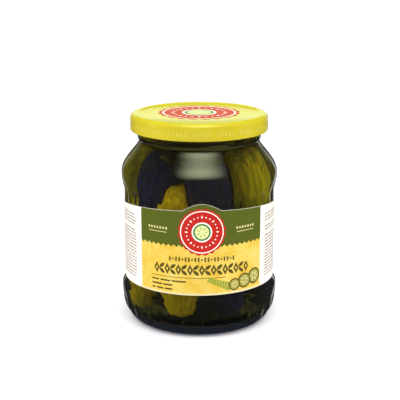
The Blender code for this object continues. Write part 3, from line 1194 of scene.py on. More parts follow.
@dataclass
class WrapLabel:
    """The paper label and all that is printed on it, in millimetres along and up the wrapped sheet."""

    radius: float = 47.2
    paper: float = 0.15
    middle: float = 2.0
    half_span: float = 161.0
    low: float = 28.4
    middle_top: float = 80.8
    arch_drop: float = 5.0
    arch_span: float = 90.0
    crest_rise: float = 4.2
    crest_half: float = 14.5
    crest_power: float = 1.25
    column: float = 1.2
    rows: int = 8
    panel_half: float = 42.4
    border: float = 0.7
    border_low: float = 1.3
    pinked_height: float = 59.0
    tooth_pitch: float = 3.4
    tooth_height: float = 1.5
    seal_radius: float = 14.5
    seal_height: float = 67.9
    dash_place: float = 27.8
    dash_height: float = 69.2
    row_height: float = 50.9
    band_height: float = 44.3
    band_pitch: float = 7.1
    sprig_turn: float = 158.0
    text_top: float = 72.0
    text_pitch: float = 1.95
    table_pitch: float = 3.4
    seed: int = 11

    def build(self) -> list[Object]:
        """Builds the printed grounds, the paper, and the small printing."""
        half = round((self.panel_half - self.border) / self.tooth_pitch) * self.tooth_pitch
        face = self.radius + self.paper
        printed = (
            ("label_seal", Seal(self.seal_radius, (0.0, self.seal_height)).shapes(), 0.03),
            ("label_ornament", self.ornament(), 0.03),
            ("label_side_text", self.side_text(), 0.0),
        )
        grounds = (
            ("label_green_ground", self.column, self.green_low, self.green_top, 0.01, Ink.GREEN),
            ("label_yellow_ground", self.tooth_pitch / 4, self.yellow_low, self.yellow_top, 0.03, Ink.YELLOW),
        )
        pieces = []
        for name, column, low, top, lift, ink in grounds:
            grid = self.flat_grid(name, half, column, low, top)
            pieces.append(self.bent(grid, face + lift, INK_FILM, ink.material()))
        pieces.append(self.sheet())
        for name, shapes, lift in printed:
            pieces.append(PrintSheet(name, shapes).wrapped(face + lift, self.middle))
        return pieces

    def top_at(self, place: float) -> float:
        """Height of the top edge at a place along the sheet: an arch with a crest in its middle."""
        angle = math.degrees(abs(place) / self.radius)
        height = self.middle_top - self.arch_drop * min(angle / self.arch_span, 1.0) ** 2
        share = angle / self.crest_half
        if share < 1.0:
            height += self.crest_rise * (1.0 - share**2) ** self.crest_power
        return height

    def green_low(self, _place: float) -> float:
        """Low edge of the green ground, hidden under the yellow one."""
        return self.pinked_height - 2.0

    def green_top(self, place: float) -> float:
        """Top edge of the green ground, a hair inside the paper's."""
        return self.top_at(place) - 0.15

    def yellow_low(self, _place: float) -> float:
        """Low edge of the yellow ground, above the pale border."""
        return self.low + self.border_low

    def yellow_top(self, place: float) -> float:
        """Pinked top edge of the yellow ground."""
        along = abs(place / self.tooth_pitch % 1.0 - 0.5) * 2.0
        return self.pinked_height + self.tooth_height * (along - 0.5)

    def flat_grid(self, name: str, half: float, column: float, low: Edge, top: Edge) -> Object:
        """A flat grid between two edges.

        Args:
            name: The piece's name.
            half: Half its width, in millimetres.
            column: Width of a column of faces.
            low: Height of the low edge by the place along the sheet.
            top: Height of the top edge in the same way.

        Returns:
            The grid in the XY plane, facing +Z.
        """
        counts = {"x_subdivisions": round(2 * half / column), "y_subdivisions": self.rows}
        grid = new_object(name, bpy.ops.mesh.primitive_grid_add, size=2.0, **counts)
        for vertex in grid.data.vertices:
            place = vertex.co.x * half
            share = (vertex.co.y + 1.0) / 2.0
            height = low(place) + (top(place) - low(place)) * share
            vertex.co = Vector((place * MM, height * MM, 0.0))
        return grid

    def bent(self, grid: Object, radius: float, thickness: float, material: Material) -> Object:
        """Bends a flat grid round the jar and finishes it.

        Args:
            grid: The flat grid.
            radius: Radius that its back takes.
            thickness: Its thickness, outwards.
            material: Its finish.

        Returns:
            The finished piece.
        """
        wrap(grid, radius, self.middle)
        thicken(grid, thickness)
        return deliver(grid, 35.0, material)

    def sheet(self) -> Object:
        """The paper, bent round the glass."""
        half = math.radians(self.half_span) * self.radius
        grid = self.flat_grid("label_paper", half, self.column, lambda _place: self.low, self.top_at)
        paper = self.bent(grid, self.radius, self.paper, CoatedPaper("coated_paper").material())
        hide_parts("label")
        return paper

    def ornament(self) -> list[InkShape]:
        """The front panel's small printing: dashes, the leaf band, bars, slices and a sprig."""
        return [*self.dash_rows(), *self.leaf_band(), *self.info_bars(), *self.slices(), *self.sprig()]

    def dash_rows(self) -> list[InkShape]:
        """Pale dashes with a rule on the green, left and right, and the olive row under the seal."""
        shapes = []
        for side in SIDES:
            for index in range(7):
                form, size = (Form.LOZENGE, (1.5, 1.9)) if index % 2 else (Form.BAR, (1.1, 1.5))
                middle = (side * self.dash_place + (index - 3) * 2.0, self.dash_height)
                shapes.append(InkShape(Ink.PALE, form, middle, size))
            rule = (side * self.dash_place, self.dash_height - 2.4)
            shapes.append(InkShape(Ink.PALE, Form.BAR, rule, (12.5, 0.4)))
        for index in range(21):
            form, size = (Form.DOT, (1.2, 1.2)) if index % 3 == 1 else (Form.BAR, (1.0, 2.7))
            shapes.append(InkShape(Ink.OLIVE, form, ((index - 10) * 1.95, self.row_height), size))
        return shapes

    def leaf_band(self) -> list[InkShape]:
        """The dark band: lozenges with pairs of leaves between them, over a thin rule, and the cream edge."""
        shapes = []
        for index in range(9):
            place = (index - 4) * self.band_pitch
            shapes.append(InkShape(Ink.OLIVE, Form.LOZENGE, (place, self.band_height), (3.7, 7.0)))
            shapes.append(InkShape(Ink.YELLOW, Form.LOZENGE, (place, self.band_height), (1.3, 2.6), 0.0, 2))
            for side in SIDES if index < 8 else ():
                middle = (place + self.band_pitch / 2, self.band_height + side * 1.7)
                shapes.append(InkShape(Ink.OLIVE, Form.LEAF, middle, (4.6, 2.1), side * 40.0))
        shapes.append(InkShape(Ink.OLIVE, Form.BAR, (-8.7, self.band_height - 5.0), (46.6, 0.35)))
        shapes.append(InkShape(Ink.CREAM, Form.BAR, (0.0, self.low + 0.7), (2 * self.panel_half, 1.1)))
        return shapes

    def info_bars(self) -> list[InkShape]:
        """Three short lines of dark bars at the lower left."""
        shapes = []
        for height, widths in ((36.8, (5.0, 6.5, 9.0)), (34.1, (7.0, 6.0)), (31.5, (2.5, 4.5, 5.0))):
            place = -32.0
            for width in widths:
                shapes.append(InkShape(Ink.OLIVE, Form.BAR, (place + width / 2, height), (width, 1.0)))
                place += width + 1.0
        return shapes

    def slices(self) -> list[InkShape]:
        """Three overlapping slices of cucumber at the lower right."""
        shapes = []
        places = ((35.2, 36.6, 10.2), (27.4, 35.3, 9.4), (20.4, 34.0, 7.6))
        for index, (place, height, width) in enumerate(places):
            layer = 1 + 3 * index
            for ink, size in ((Ink.OLIVE, width), (Ink.PULP, width * 0.8)):
                lift = layer + (ink is Ink.PULP)
                shapes.append(InkShape(ink, Form.DISC, (place, height), (size, size), 0.0, lift))
            for seed in range(6):
                angle = math.radians(60.0 * seed + 20.0 * index)
                spot = (place + math.cos(angle) * width * 0.2, height + math.sin(angle) * width * 0.2)
                size = (width * 0.2, width * 0.08)
                shapes.append(InkShape(Ink.FLESH, Form.LEAF, spot, size, math.degrees(angle), layer + 2))
        return shapes

    def sprig(self) -> list[InkShape]:
        """A leafy sprig that leans out from behind the slices."""
        shapes = [InkShape(Ink.SPRIG, Form.BAR, (12.0, 35.0), (15.5, 0.45), self.sprig_turn)]
        for index in range(9):
            share = index / 8
            start = part_way((18.6, 32.4), (5.0, 37.8), share, share)
            for side in SIDES:
                turn = self.sprig_turn + side * 48.0
                reach = 1.9 - 0.8 * share
                angle = math.radians(turn)
                middle = (start[0] + math.cos(angle) * reach, start[1] + math.sin(angle) * reach)
                shapes.append(InkShape(Ink.SPRIG, Form.LEAF, middle, (3.6 - 1.4 * share, 1.3), turn))
        return shapes

    def side_text(self) -> list[InkShape]:
        """The info panels round the sides and back: rows of grey bars, and a ruled table at the back."""
        draw = random.Random(self.seed)
        shapes = []
        for first, last in ((-68.0, -46.2), (46.2, 68.0), (-94.0, -72.0), (72.0, 94.0)):
            height = self.text_top + 1.0
            while height > 33.0:
                if draw.random() > 0.08:
                    shapes.extend(self.text_row(draw, first, last, height))
                height -= self.text_pitch
        shapes.extend(self.table(-121.0, -99.0))
        for row in range(9):
            shapes.extend(self.text_row(draw, 99.0, 121.0, self.text_top - self.text_pitch * row))
        return shapes

    @staticmethod
    def text_row(draw: random.Random, first: float, last: float, height: float) -> list[InkShape]:
        """One row of bars of uneven length.

        Args:
            draw: Where the lengths come from.
            first: Where the row starts.
            last: Where it ends.
            height: How high it is.

        Returns:
            The bars.
        """
        shapes = []
        place = first
        while place < last - 1.5:
            width = min(draw.uniform(1.6, 6.0), last - place)
            shapes.append(InkShape(Ink.GREY, Form.BAR, (place + width / 2, height), (width, 0.75)))
            place += width + 0.8
        return shapes

    def table(self, first: float, last: float) -> list[InkShape]:
        """A small ruled table between two places, with a bar at the left and right of each row."""
        shapes = []
        for row in range(10):
            height = self.text_top - self.table_pitch * row
            middle = height - self.table_pitch / 2
            shapes.append(InkShape(Ink.GREY, Form.BAR, ((first + last) / 2, height), (last - first, 0.3)))
            if row < 9:
                shapes.append(InkShape(Ink.GREY, Form.BAR, (first + 5.5, middle), (9.0 - row % 3 * 1.6, 0.9)))
                shapes.append(InkShape(Ink.GREY, Form.BAR, (last - 2.8, middle), (3.4, 0.9)))
        return shapes


# What the jar holds


@dataclass(frozen=True)
class Ring:
    """One ring of gherkins round the middle, in millimetres and degrees, with each one's tone: how ripe it
    is, together with painted light and shade.

    What is set for one gherkin by its number takes the place of the length, girth or sway that it draws.
    """

    radius: float
    first: float
    low: float
    length: float
    girth: float
    lean: float
    ripeness: tuple[float, ...]
    own: dict[int, dict[str, float]]


@dataclass
class GherkinPack:
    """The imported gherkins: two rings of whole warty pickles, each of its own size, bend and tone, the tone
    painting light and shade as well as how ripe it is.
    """

    # Each gherkin's tone below is painted light and shade as well as how ripe it is: near 0 a shaded
    # blue-black one, near 1 a lit mustard one.
    lower: Ring = Ring(
        radius=30.0,
        first=-24.0,
        low=9.6,
        length=76.0,
        girth=12.6,
        lean=0.5,
        ripeness=(0.98, 0.0, 0.1, 0.45, 0.35, 0.4, 0.94),
        own={0: {"length": 83.8, "girth": 13.2, "sway": -2.5}},
    )
    upper: Ring = Ring(
        radius=28.2,
        first=-50.0,
        low=57.0,
        length=54.0,
        girth=13.2,
        lean=8.0,
        ripeness=(0.03, 0.07, 0.8, 0.5, 0.3, 0.62),
        own={2: {"sway": -9.0}},
    )
    length_spread: float = 0.07
    girth_spread: float = 0.05
    sway: float = 7.0
    bend: float = 1.4
    fullness: float = 3.6
    seed: int = 7
    segments: int = 60
    rings: int = 48
    wart_cell: float = 5.2
    wart_reach: float = 0.62
    wart_width: float = 0.36
    bare_share: float = 0.35
    lump_cell: float = 14.0
    lump_reach: float = 0.5
    skin_inset: float = 0.35
    dimple_depth: float = 1.1
    dimple_from: float = 0.94
    scar_from: float = 0.955
    scar_fade: float = 0.04
    core_radius: float = 27.5
    core_low: float = 12.0
    core_top: float = 101.0
    core_rows: int = 36
    core_sides: int = 112
    core_lobes: int = 7
    lobe_depth: float = 2.2
    core_lump_cell: float = 9.0
    core_lump_reach: float = 0.9
    core_end_drop: float = 3.0
    core_tone_cell: float = 22.0

    def build(self) -> list[Object]:
        """Builds the gherkins and what is packed behind them.

        Returns:
            The gherkins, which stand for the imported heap, and the inner pack.
        """
        draw = random.Random(self.seed)
        skin = GherkinSkin("gherkin_skin").material()
        pickles = [*self.place_ring(self.lower, draw), *self.place_ring(self.upper, draw)]
        heap = deliver(join("gherkins_whole", pickles), 80.0, skin)
        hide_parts("gherkins")
        return [heap, self.inner_pack(skin)]

    def place_ring(self, ring: Ring, draw: random.Random) -> list[Object]:
        """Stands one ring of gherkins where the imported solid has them.

        Args:
            ring: The ring.
            draw: Where the gherkins' differences come from.

        Returns:
            The gherkins.
        """
        pickles = []
        for index, ripeness in enumerate(ring.ripeness):
            sizes = {
                "length": ring.length * (1.0 + self.length_spread * draw.uniform(-1.0, 1.0)),
                "girth": ring.girth * (1.0 + self.girth_spread * draw.uniform(-1.0, 1.0)),
                "sway": self.sway * draw.uniform(-1.0, 1.0),
                "spin": draw.uniform(0.0, 360.0),
            }
            sizes |= ring.own.get(index, {})
            turns = (("Y", sizes["sway"]), ("X", -ring.lean), ("Z", sizes["spin"]))
            sway, lean, spin = (Matrix.Rotation(math.radians(angle), 4, axis) for axis, angle in turns)
            turn = Matrix.Rotation(math.radians(ring.first + index * 360.0 / len(ring.ripeness)), 4, "Z")
            middle = Matrix.Translation(Vector((0.0, -ring.radius, ring.low + sizes["length"] / 2)) * MM)
            pickle = self.gherkin(sizes["length"], sizes["girth"], ripeness, ring.low + index)
            pickle.data.transform(turn @ middle @ sway @ lean @ spin)
            pickles.append(pickle)
        return pickles

    def gherkin(self, length: float, girth: float, ripeness: float, key: float) -> Object:
        """Models one gherkin upright at the origin.

        Args:
            length: Its length, in millimetres.
            girth: Its half width.
            ripeness: Its colour, from blue-black at 0 to mustard at 1, painting light and shade as well as
                how ripe it is.
            key: A number of its own, which places its lumps and warts.

        Returns:
            The gherkin, with the skin, ripeness, wart and scar attributes that its finish reads.
        """
        counts = {"segments": self.segments, "ring_count": self.rings}
        pickle = new_object("gherkin", bpy.ops.mesh.primitive_uv_sphere_add, radius=1.0, **counts)
        own = Vector((key * 7.31, key * 3.17, key * 1.93))
        skin, ripe, warts, scars = [], [], [], []
        for vertex in pickle.data.vertices:
            along = vertex.co.z
            ring = math.hypot(vertex.co.x, vertex.co.y)
            width = (1.0 - abs(along) ** self.fullness) ** 0.5 / ring if ring > 1e-6 else 0.0
            plain = Vector((vertex.co.x * width * girth, vertex.co.y * width * girth, along * length / 2))
            lump = noise.noise(plain / self.lump_cell + own) * self.lump_reach
            rise = self.wart_rise(plain, own) * (1.0 - along**6)
            reach = 1.0 + (lump + rise * self.wart_reach - self.skin_inset) / girth
            hollow = max(0.0, (abs(along) - self.dimple_from) / (1.0 - self.dimple_from)) ** 2
            height = plain.z - math.copysign(self.dimple_depth * hollow, along)
            vertex.co = Vector((plain.x * reach + self.bend * along**2, plain.y * reach, height)) * MM
            skin.append((plain + own * 10.0) * MM)
            # Tone of this gherkin: how ripe it is together with painted light and shade, rising by a tenth
            # towards its upper end and falling by a tenth towards its lower end.
            ripe.append(ripeness + 0.1 * ripeness * along)
            warts.append(rise)
            scars.append(ease(min(max((abs(along) - self.scar_from) / self.scar_fade, 0.0), 1.0)))
        for name, values in (("skin", skin), ("ripeness", ripe), ("wart", warts), ("scar", scars)):
            write_attribute(pickle.data, name, values)
        return pickle

    def wart_rise(self, point: Vector, own: Vector) -> float:
        """Height of the nearest wart at a point, from 0 to 1, with some cells left bare."""
        distances, cells = noise.voronoi(point / self.wart_cell + own)
        if noise.cell(cells[0] * 9.0) < self.bare_share:
            return 0.0
        return max(0.0, 1.0 - distances[0] / self.wart_width) ** 1.5

    def inner_pack(self, skin: Material) -> Object:
        """The dark lumpy column of gherkins behind the outer ones, drawn up from a circle row by row; its
        dark tone is painted shade in the gaps between them.

        Args:
            skin: The gherkins' finish.

        Returns:
            The column.
        """
        sizes = {"vertices": self.core_sides, "radius": self.core_radius * MM, "fill_type": "NGON"}
        core = new_object("gherkins_inner", bpy.ops.mesh.primitive_circle_add, **sizes)
        step = (self.core_top - self.core_low) / self.core_rows
        with editing(core):
            bpy.ops.transform.translate(value=(0.0, 0.0, self.core_low * MM))
            for _row in range(self.core_rows):
                bpy.ops.mesh.extrude_region_move(TRANSFORM_OT_translate={"value": (0.0, 0.0, step * MM)})
            face_outwards()
        ripe = []
        middle = (self.core_top + self.core_low) / 2
        for vertex in core.data.vertices:
            angle = math.atan2(vertex.co.y, vertex.co.x)
            height = vertex.co.z / MM
            end = abs(height - middle) / (self.core_top - middle)
            lobes = self.lobe_depth * (abs(math.sin(self.core_lobes * angle / 2 + height / 60.0)) - 1.0)
            lumps = noise.noise(vertex.co / (self.core_lump_cell * MM)) * self.core_lump_reach
            reach = 1.0 + (lobes + lumps - self.core_end_drop * end**8) / self.core_radius
            vertex.co = Vector((vertex.co.x * reach, vertex.co.y * reach, vertex.co.z))
            # Dark tones only: painted shade for the gaps behind the outer gherkins.
            ripe.append(0.14 + 0.16 * noise.noise(vertex.co / (self.core_tone_cell * MM)))
        write_attribute(core.data, "skin", [vertex.co.copy() for vertex in core.data.vertices])
        for name, values in (("ripeness", ripe), ("wart", [0.0] * len(ripe)), ("scar", [0.0] * len(ripe))):
            write_attribute(core.data, name, values)
        return deliver(core, 60.0, skin)


@dataclass
class BrineFill:
    """The liquid: it reaches just into the glass all round, up to its level in the neck."""

    form: JarForm = JarForm()
    level: float = 120.4
    meniscus: float = 0.9
    meniscus_width: float = 2.4
    into_wall: float = 0.15
    turn_steps: int = 180

    def build(self) -> Object:
        """Builds the liquid and gives it its finish."""
        walls = [point for point in self.form.inside() if point[1] < self.level]
        walls = pushed_out([*walls, (walls[-1][0], self.level + self.meniscus)], self.into_wall)
        low = (walls[-1][0] - self.meniscus_width, walls[-1][1] - self.meniscus)
        surface = [part_way(walls[-1], low, share, math.sin(share * math.pi / 2)) for share in shares(4)]
        brine = turn_outline("brine", [*walls, *surface, (0.0, self.level)], self.turn_steps)
        hide_from(brine, "shadow")
        return deliver(brine, 60.0, PickleBrine("pickle_brine").material())


@dataclass
class Spices:
    """Dill, garlic and mustard seed, in the gaps by the glass and on the floor."""

    form: JarForm = JarForm()
    seed: int = 23
    thread_radius: float = 0.22
    wall_gap: float = 0.9
    fork_spread: float = 34.0
    seed_gap: float = 1.3
    seed_flatness: float = 0.92
    clove_half: tuple[float, float, float] = (2.6, 0.7, 4.2)
    clove_taper: float = 0.45
    clove_bend: float = 0.3
    clove_gap: float = 1.6

    def build(self) -> list[Object]:
        """Builds the spices, one piece for each kind."""
        draw = random.Random(self.seed)
        return [self.dill(draw), self.mustard(draw), self.garlic(draw)]

    @staticmethod
    def gathered(
        name: str, parts: Sequence[Object], master: Object, degrees: float, finish: Finish
    ) -> Object:
        """Joins the copies of a master shape into a finished piece.

        Args:
            name: The piece's name.
            parts: The copies.
            master: The master, which goes.
            degrees: The angle past which edges stay sharp.
            finish: The piece's finish.

        Returns:
            The piece.
        """
        piece = join(name, parts)
        remove(master)
        return deliver(piece, degrees, finish.material())

    def by_wall(self, angle: float, height: float, gap: float) -> Vector:
        """A point a gap inside the glass.

        Args:
            angle: Degrees from the front, rightwards.
            height: Height in millimetres.
            gap: How far it is off the wall.

        Returns:
            The point, in millimetres.
        """
        radius = self.form.panel_radius - self.form.wall
        outline = self.form.inside()
        for (low_r, low_z), (high_r, high_z) in zip(outline, outline[1:]):
            if low_z <= height <= high_z and high_z > low_z:
                radius = low_r + (high_r - low_r) * (height - low_z) / (high_z - low_z)
        turn = math.radians(angle)
        return Vector(((radius - gap) * math.sin(turn), -(radius - gap) * math.cos(turn), height))

    def dill(self, draw: random.Random) -> Object:
        """Sprigs of dill: stems with forked feathery leaves, floated against the glass."""
        sizes = {"vertices": 6, "radius1": 1.0, "radius2": 0.55, "depth": 1.0, "end_fill_type": "NGON"}
        thread = new_object("thread", bpy.ops.mesh.primitive_cone_add, **sizes)
        with editing(thread):
            bpy.ops.transform.translate(value=(0.0, 0.0, 0.5))
        sprigs = (
            (24.0, 105.0, 12.0, 15.0, 10),
            (44.0, 103.0, 120.0, 10.0, 8),
            (56.0, 98.0, 75.0, 14.0, 8),
            (-3.0, 101.5, 8.0, 4.0, 2),
            (-62.0, 96.0, 35.0, 16.0, 9),
            (-100.0, 100.0, 70.0, 22.0, 12),
            (120.0, 98.0, 150.0, 22.0, 12),
            (176.0, 96.0, 30.0, 24.0, 13),
            (-150.0, 101.0, 120.0, 20.0, 11),
            (155.0, 17.0, 120.0, 18.0, 10),
        )
        threads = []
        for angle, height, heading, length, leaves in sprigs:
            threads.extend(self.sprig(thread, draw, (angle, height), heading, length, leaves))
        dull = PickledMatter("steeped_dill", "3B3F12", "1B1C0C", 2.0)
        return self.gathered("dill_sprigs", threads, thread, 60.0, dull)

    def sprig(
        self, thread: Object, draw: random.Random, start: Point, heading: float, length: float, leaves: int
    ) -> list[Object]:
        """One sprig: a bent stem along the wall with leaves that fork twice.

        Args:
            thread: The master thread, one unit long.
            draw: Where the unevenness comes from.
            start: Angle and height where the stem begins.
            heading: Its direction along the wall in degrees, 0 to the right and 90 up.
            length: Its length in millimetres.
            leaves: How many leaves it has.

        Returns:
            The threads, each where it lies.
        """
        threads = []
        place, way = start, heading
        for index in range(leaves):
            way += draw.uniform(-9.0, 9.0)
            after = self.moved(place, way, length / leaves)
            threads.append(self.strand(thread, place, after, 1.5 - 0.8 * index / leaves, draw))
            leaf_way = way + SIDES[index % 2] * draw.uniform(35.0, 60.0)
            leaf = self.moved(after, leaf_way, draw.uniform(1.6, 2.8))
            threads.append(self.strand(thread, after, leaf, 0.8, draw))
            for fork in (-self.fork_spread, 0.0, self.fork_spread):
                tip = self.moved(leaf, leaf_way + fork + draw.uniform(-12.0, 12.0), draw.uniform(1.8, 3.6))
                threads.append(self.strand(thread, leaf, tip, 0.6, draw))
            place = after
        return threads

    def moved(self, place: Point, way: float, reach: float) -> Point:
        """A place on the wall, as an angle and a height, moved by a reach in a direction along the wall."""
        angle = math.radians(way)
        across = math.degrees(reach * math.cos(angle) / (self.form.panel_radius - self.form.wall))
        return place[0] + across, place[1] + reach * math.sin(angle)

    def strand(self, thread: Object, start: Point, end: Point, scale: float, draw: random.Random) -> Object:
        """A thread from one place on the wall to another.

        Args:
            thread: The master thread.
            start: Angle and height where it begins.
            end: Angle and height where it ends.
            scale: How thick it is, as a share of the thread's own radius.
            draw: Where the unevenness comes from.

        Returns:
            The thread.
        """
        first = self.by_wall(*start, self.wall_gap)
        along = self.by_wall(*end, self.wall_gap + draw.uniform(-0.3, 0.5)) - first
        width = self.thread_radius * scale
        turn = along.to_track_quat("Z", "Y").to_matrix().to_4x4()
        size = Matrix.Diagonal((width * MM, width * MM, along.length * MM, 1.0))
        return copy_at(thread, Matrix.Translation(first * MM) @ turn @ size)

    def mustard(self, draw: random.Random) -> Object:
        """Mustard seeds scattered on the floor's edge and in a few gaps."""
        seed = new_object("seed", bpy.ops.mesh.primitive_ico_sphere_add, subdivisions=3, radius=1.0)
        form = self.form
        floor_end = form.bulge_radius - form.wall - form.floor_corner
        places = []
        for _index in range(11):
            angle = draw.uniform(0.0, math.tau)
            radius = draw.uniform(24.0, 35.0)
            size = draw.uniform(0.8, 1.15)
            floor = form.floor_middle + (form.floor_edge - form.floor_middle) * radius / floor_end
            places.append((Vector((radius * math.sin(angle), -radius * math.cos(angle), floor + size)), size))
        for angle, height in ((101.0, 93.0), (-84.0, 95.0), (190.0, 92.0)):
            places.append((self.by_wall(angle, height, self.seed_gap), 1.0))
        seeds = []
        for place, size in places:
            shape = Matrix.Diagonal((size * MM, size * self.seed_flatness * MM, size * MM, 1.0))
            seeds.append(copy_at(seed, Matrix.Translation(place * MM) @ shape))
        husk = PickledMatter("mustard_seed", "8A7434", "5E4A1E", 0.8)
        return self.gathered("mustard_seeds", seeds, seed, 80.0, husk)

    def garlic(self, draw: random.Random) -> Object:
        """Slivers of garlic slipped between the gherkins and the glass."""
        sizes = {"segments": 20, "ring_count": 14, "radius": 1.0}
        clove = new_object("clove", bpy.ops.mesh.primitive_uv_sphere_add, **sizes)
        wide, deep, high = self.clove_half
        for vertex in clove.data.vertices:
            point = vertex.co.copy()
            taper = 1.0 - self.clove_taper * max(0.0, point.z)
            height = point.z * high + point.x**2 * self.clove_bend
            vertex.co = Vector((point.x * wide * taper, point.y * deep, height))
        slivers = []
        for angle, height in ((158.0, 97.5), (-128.0, 22.0), (138.0, 95.0), (116.0, 20.0)):
            place = Matrix.Translation(self.by_wall(angle, height, self.clove_gap) * MM)
            tilt = Matrix.Rotation(math.radians(draw.uniform(-60.0, 60.0)), 4, "Y")
            turn = Matrix.Rotation(math.radians(angle), 4, "Z")
            slivers.append(copy_at(clove, place @ turn @ tilt @ Matrix.Scale(MM, 4)))
        flesh = PickledMatter("steeped_garlic", "8C8A62", "6B693F")
        return self.gathered("garlic_slivers", slivers, clove, 60.0, flesh)


# The studio


@dataclass(frozen=True)
class Softbox:
    """An even square-cornered lamp that faces a point of the jar."""

    name: str
    azimuth: float
    elevation: float
    distance: float
    width: float
    height: float
    radiance: float
    colour: str = "FFFFFF"
    aim_height: float = 80.0

    def place(self) -> Matrix:
        """Where the lamp stands and how it is turned to face the jar."""
        turn = Matrix.Rotation(math.radians(self.azimuth), 3, "Z") @ Matrix.Rotation(
            math.radians(-self.elevation), 3, "X"
        )
        way = turn @ Vector((0.0, -1.0, 0.0))
        middle = way * self.distance + Vector((0.0, 0.0, self.aim_height * MM))
        return Matrix.Translation(middle) @ way.to_track_quat("Z", "Y").to_matrix().to_4x4()

    def build(self) -> None:
        """Adds the lamp, its power worked out from its area and how bright it looks."""
        lamp = new_object(self.name, bpy.ops.object.light_add, type="AREA")
        lamp.matrix_world = self.place()
        lamp.data.shape = "RECTANGLE"
        lamp.data.size = self.width
        lamp.data.size_y = self.height
        lamp.data.energy = self.radiance * math.pi * self.width * self.height
        lamp.data.color = linear(self.colour)[:3]
        hide_from(lamp, "glossy", "transmission")


@dataclass(frozen=True)
class ReflectionCard(Softbox):
    """A glowing card that only reflections see, brightest in its middle and fading over its edges."""

    fade: float = 0.3

    def build(self) -> None:
        """Adds the card and its glow, which falls off near its edges."""
        card = new_object(self.name, bpy.ops.mesh.primitive_plane_add, size=1.0)
        card.matrix_world = self.place() @ Matrix.Diagonal((self.width, self.height, 1.0, 1.0))
        material = bpy.data.materials.new(f"{self.name}_glow")
        material.use_nodes = True
        tree = material.node_tree
        tree.nodes.clear()
        place = add_node(tree, "TexCoord").outputs["Object"]
        axes = add_node(tree, "SeparateXYZ", None, {"Vector": place})
        edge = {"interpolation_type": "SMOOTHSTEP", "From Min": 0.5, "From Max": 0.5 - self.fade}
        falls = []
        for axis in ("X", "Y"):
            away = add_node(tree, "Math", {"operation": "ABSOLUTE"}, {0: axes.outputs[axis]})
            falls.append(add_node(tree, "MapRange", edge, {"Value": away}))
        glow = add_node(tree, "Math", {"operation": "MULTIPLY"}, dict(enumerate(falls)))
        strength = add_node(tree, "Math", {"operation": "MULTIPLY", 1: self.radiance}, {0: glow})
        light = add_node(tree, "Emission", {"Color": linear(self.colour)}, {"Strength": strength})
        add_node(tree, "OutputMaterial", None, {"Surface": light})
        card.data.materials.append(material)
        hide_from(card, "camera", "diffuse", "transmission", "shadow")


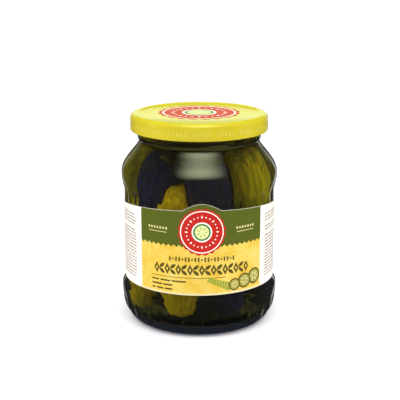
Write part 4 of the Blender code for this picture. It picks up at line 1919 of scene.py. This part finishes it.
@dataclass
class Studio:
    """A pale floor, a white surround that is dim in reflections, soft lamps, and the photograph's camera."""

    camera_place: tuple[float, float, float] = (0.0005, -0.5995, 0.2335)
    camera_pitch: float = 14.8
    lens: float = 88.2
    sensor: float = 36.0
    floor_radius: float = 0.45
    white: float = 1.1
    ambient: float = 0.35
    gloss_surround: float = 0.04
    glass_surround: float = 0.12
    overhead: float = 0.8
    overhead_spread: float = 70.0
    shade_edge: float = 36.0
    shade_low: float = 0.2
    shade_top: float = 0.6
    shade_rise: Point = (8.6, 6.8)
    shade_rim: Point = (43.8, 6.1)

    def build(self) -> None:
        """Builds the floor, the surround, the lamps and the camera."""
        self.floor()
        self.heel_shade()
        self.surround()
        self.lamps()
        self.camera()
        view = bpy.context.scene.view_settings
        view.view_transform = "Standard"
        view.look = "None"

    def floor(self) -> None:
        """A round pale floor that reflections don't pick up, and that lets the low lamps reach the heel."""
        sizes = {"vertices": 128, "radius": self.floor_radius, "fill_type": "NGON"}
        floor = new_object("floor", bpy.ops.mesh.primitive_circle_add, **sizes)
        paint = MattPaint("matt_white_paper", (0.92, 0.84, 0.97, 1.0), linear("FFFFFF"), 0.1, 0.9)
        floor.data.materials.append(paint.material())
        hide_from(floor, "glossy", "transmission", "shadow")

    def heel_shade(self) -> None:
        """A dark dish under the heel, seen only by light and through the glass: it casts the shadow under the
        jar, and seen through the glass base it is painted shade with a faint painted glow.

        The glass itself casts no shadow, so that light reaches what it holds.
        """
        low, top, edge = self.shade_low, self.shade_top, self.shade_edge
        flat = straight((0.0, low), (edge, low), 2)
        rise = rounded((edge, low + self.shade_rise[1]), self.shade_rise, -90.0, -8.0, 8)
        outline = [(0.0, low), *flat, *rise, self.shade_rim, (edge, top), (0.0, top)]
        dish = turn_outline("heel_shade", outline, 90)
        # Painted shade: near-black with a faint bluish painted glow, which is what shows of the heel through
        # the glass base.
        paint = MattPaint("lamp_black", linear("16151C"), linear("343A4C"), 0.25, 1.0)
        dish.data.materials.append(paint.material())
        hide_from(dish, "camera", "glossy")

    def surround(self) -> None:
        """White behind the jar, a soft ambient light, and a dim surround for reflections."""
        world = bpy.data.worlds.new("surround")
        world.use_nodes = True
        bpy.context.scene.world = world
        tree = world.node_tree
        tree.nodes.clear()
        path = add_node(tree, "LightPath")
        last = add_node(tree, "Background", {"Color": linear("FFFFFF"), "Strength": self.ambient})
        for ray, colour, strength in (
            ("Is Glossy Ray", (0.8, 0.9, 1.0, 1.0), self.gloss_surround),
            ("Is Transmission Ray", linear("FFFBC8"), self.glass_surround),
            ("Is Camera Ray", linear("FFFFFF"), self.white),
        ):
            background = add_node(tree, "Background", {"Color": colour, "Strength": strength})
            last = add_node(tree, "MixShader", None, {0: path.outputs[ray], 1: last, 2: background})
        add_node(tree, "OutputWorld", None, {"Surface": last})

    def lamps(self) -> None:
        """The key lamp above the front, low fill lamps, overhead light, and cards for reflections."""
        Softbox("key", 6.0, 58.0, 1.3, 1.9, 0.95, 1.75).build()
        Softbox("front_fill", -6.0, -6.0, 1.2, 1.1, 0.45, 1.2).build()
        Softbox("left_fill", -84.0, 2.0, 1.1, 0.5, 1.2, 2.9).build()
        Softbox("right_fill", 84.0, 2.0, 1.1, 0.5, 1.2, 2.8).build()
        ReflectionCard("window_card", 3.0, 54.5, 1.3, 1.8, 1.15, 7.6, "F8FDCC", fade=0.48).build()
        ReflectionCard("back_card", 180.0, 12.0, 1.5, 2.4, 0.55, 1.4, "F0FFD2", fade=0.2).build()
        ReflectionCard("left_rim_card", -152.0, -10.0, 1.2, 0.3, 1.6, 0.5, fade=0.4).build()
        ReflectionCard("right_rim_card", 152.0, -10.0, 1.2, 0.3, 1.6, 0.9, fade=0.4).build()
        sun = new_object("overhead", bpy.ops.object.light_add, type="SUN", location=(0.0, 0.0, 1.5))
        sun.data.energy = self.overhead * math.pi
        sun.data.color = linear("E8FFDE")[:3]
        sun.data.angle = math.radians(self.overhead_spread)
        hide_from(sun, "glossy", "transmission")

    def camera(self) -> None:
        """The camera, a little above the jar and looking down on it."""
        turn = (math.radians(90.0 - self.camera_pitch), 0.0, 0.0)
        camera = new_object("camera", bpy.ops.object.camera_add, location=self.camera_place, rotation=turn)
        camera.data.lens = self.lens
        camera.data.sensor_width = self.sensor
        camera.data.clip_start = 0.01
        camera.data.clip_end = 20.0
        bpy.context.scene.camera = camera


def main() -> None:
    """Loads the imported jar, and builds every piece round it."""
    logging.basicConfig(level=logging.INFO, format="%(name)s: %(message)s")
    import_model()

    pieces = [GlassJar().build()]
    pieces += TwistCap().build()
    pieces += WrapLabel().build()
    pieces += GherkinPack().build()
    pieces.append(BrineFill().build())
    pieces += Spices().build()
    remove(*PrintSheet.MASTERS.forms.values())
    for piece in pieces:
        LOG.info("%s: %d faces", piece.name, len(piece.data.polygons))
    Studio().build()


if __name__ == "__main__":
    main()
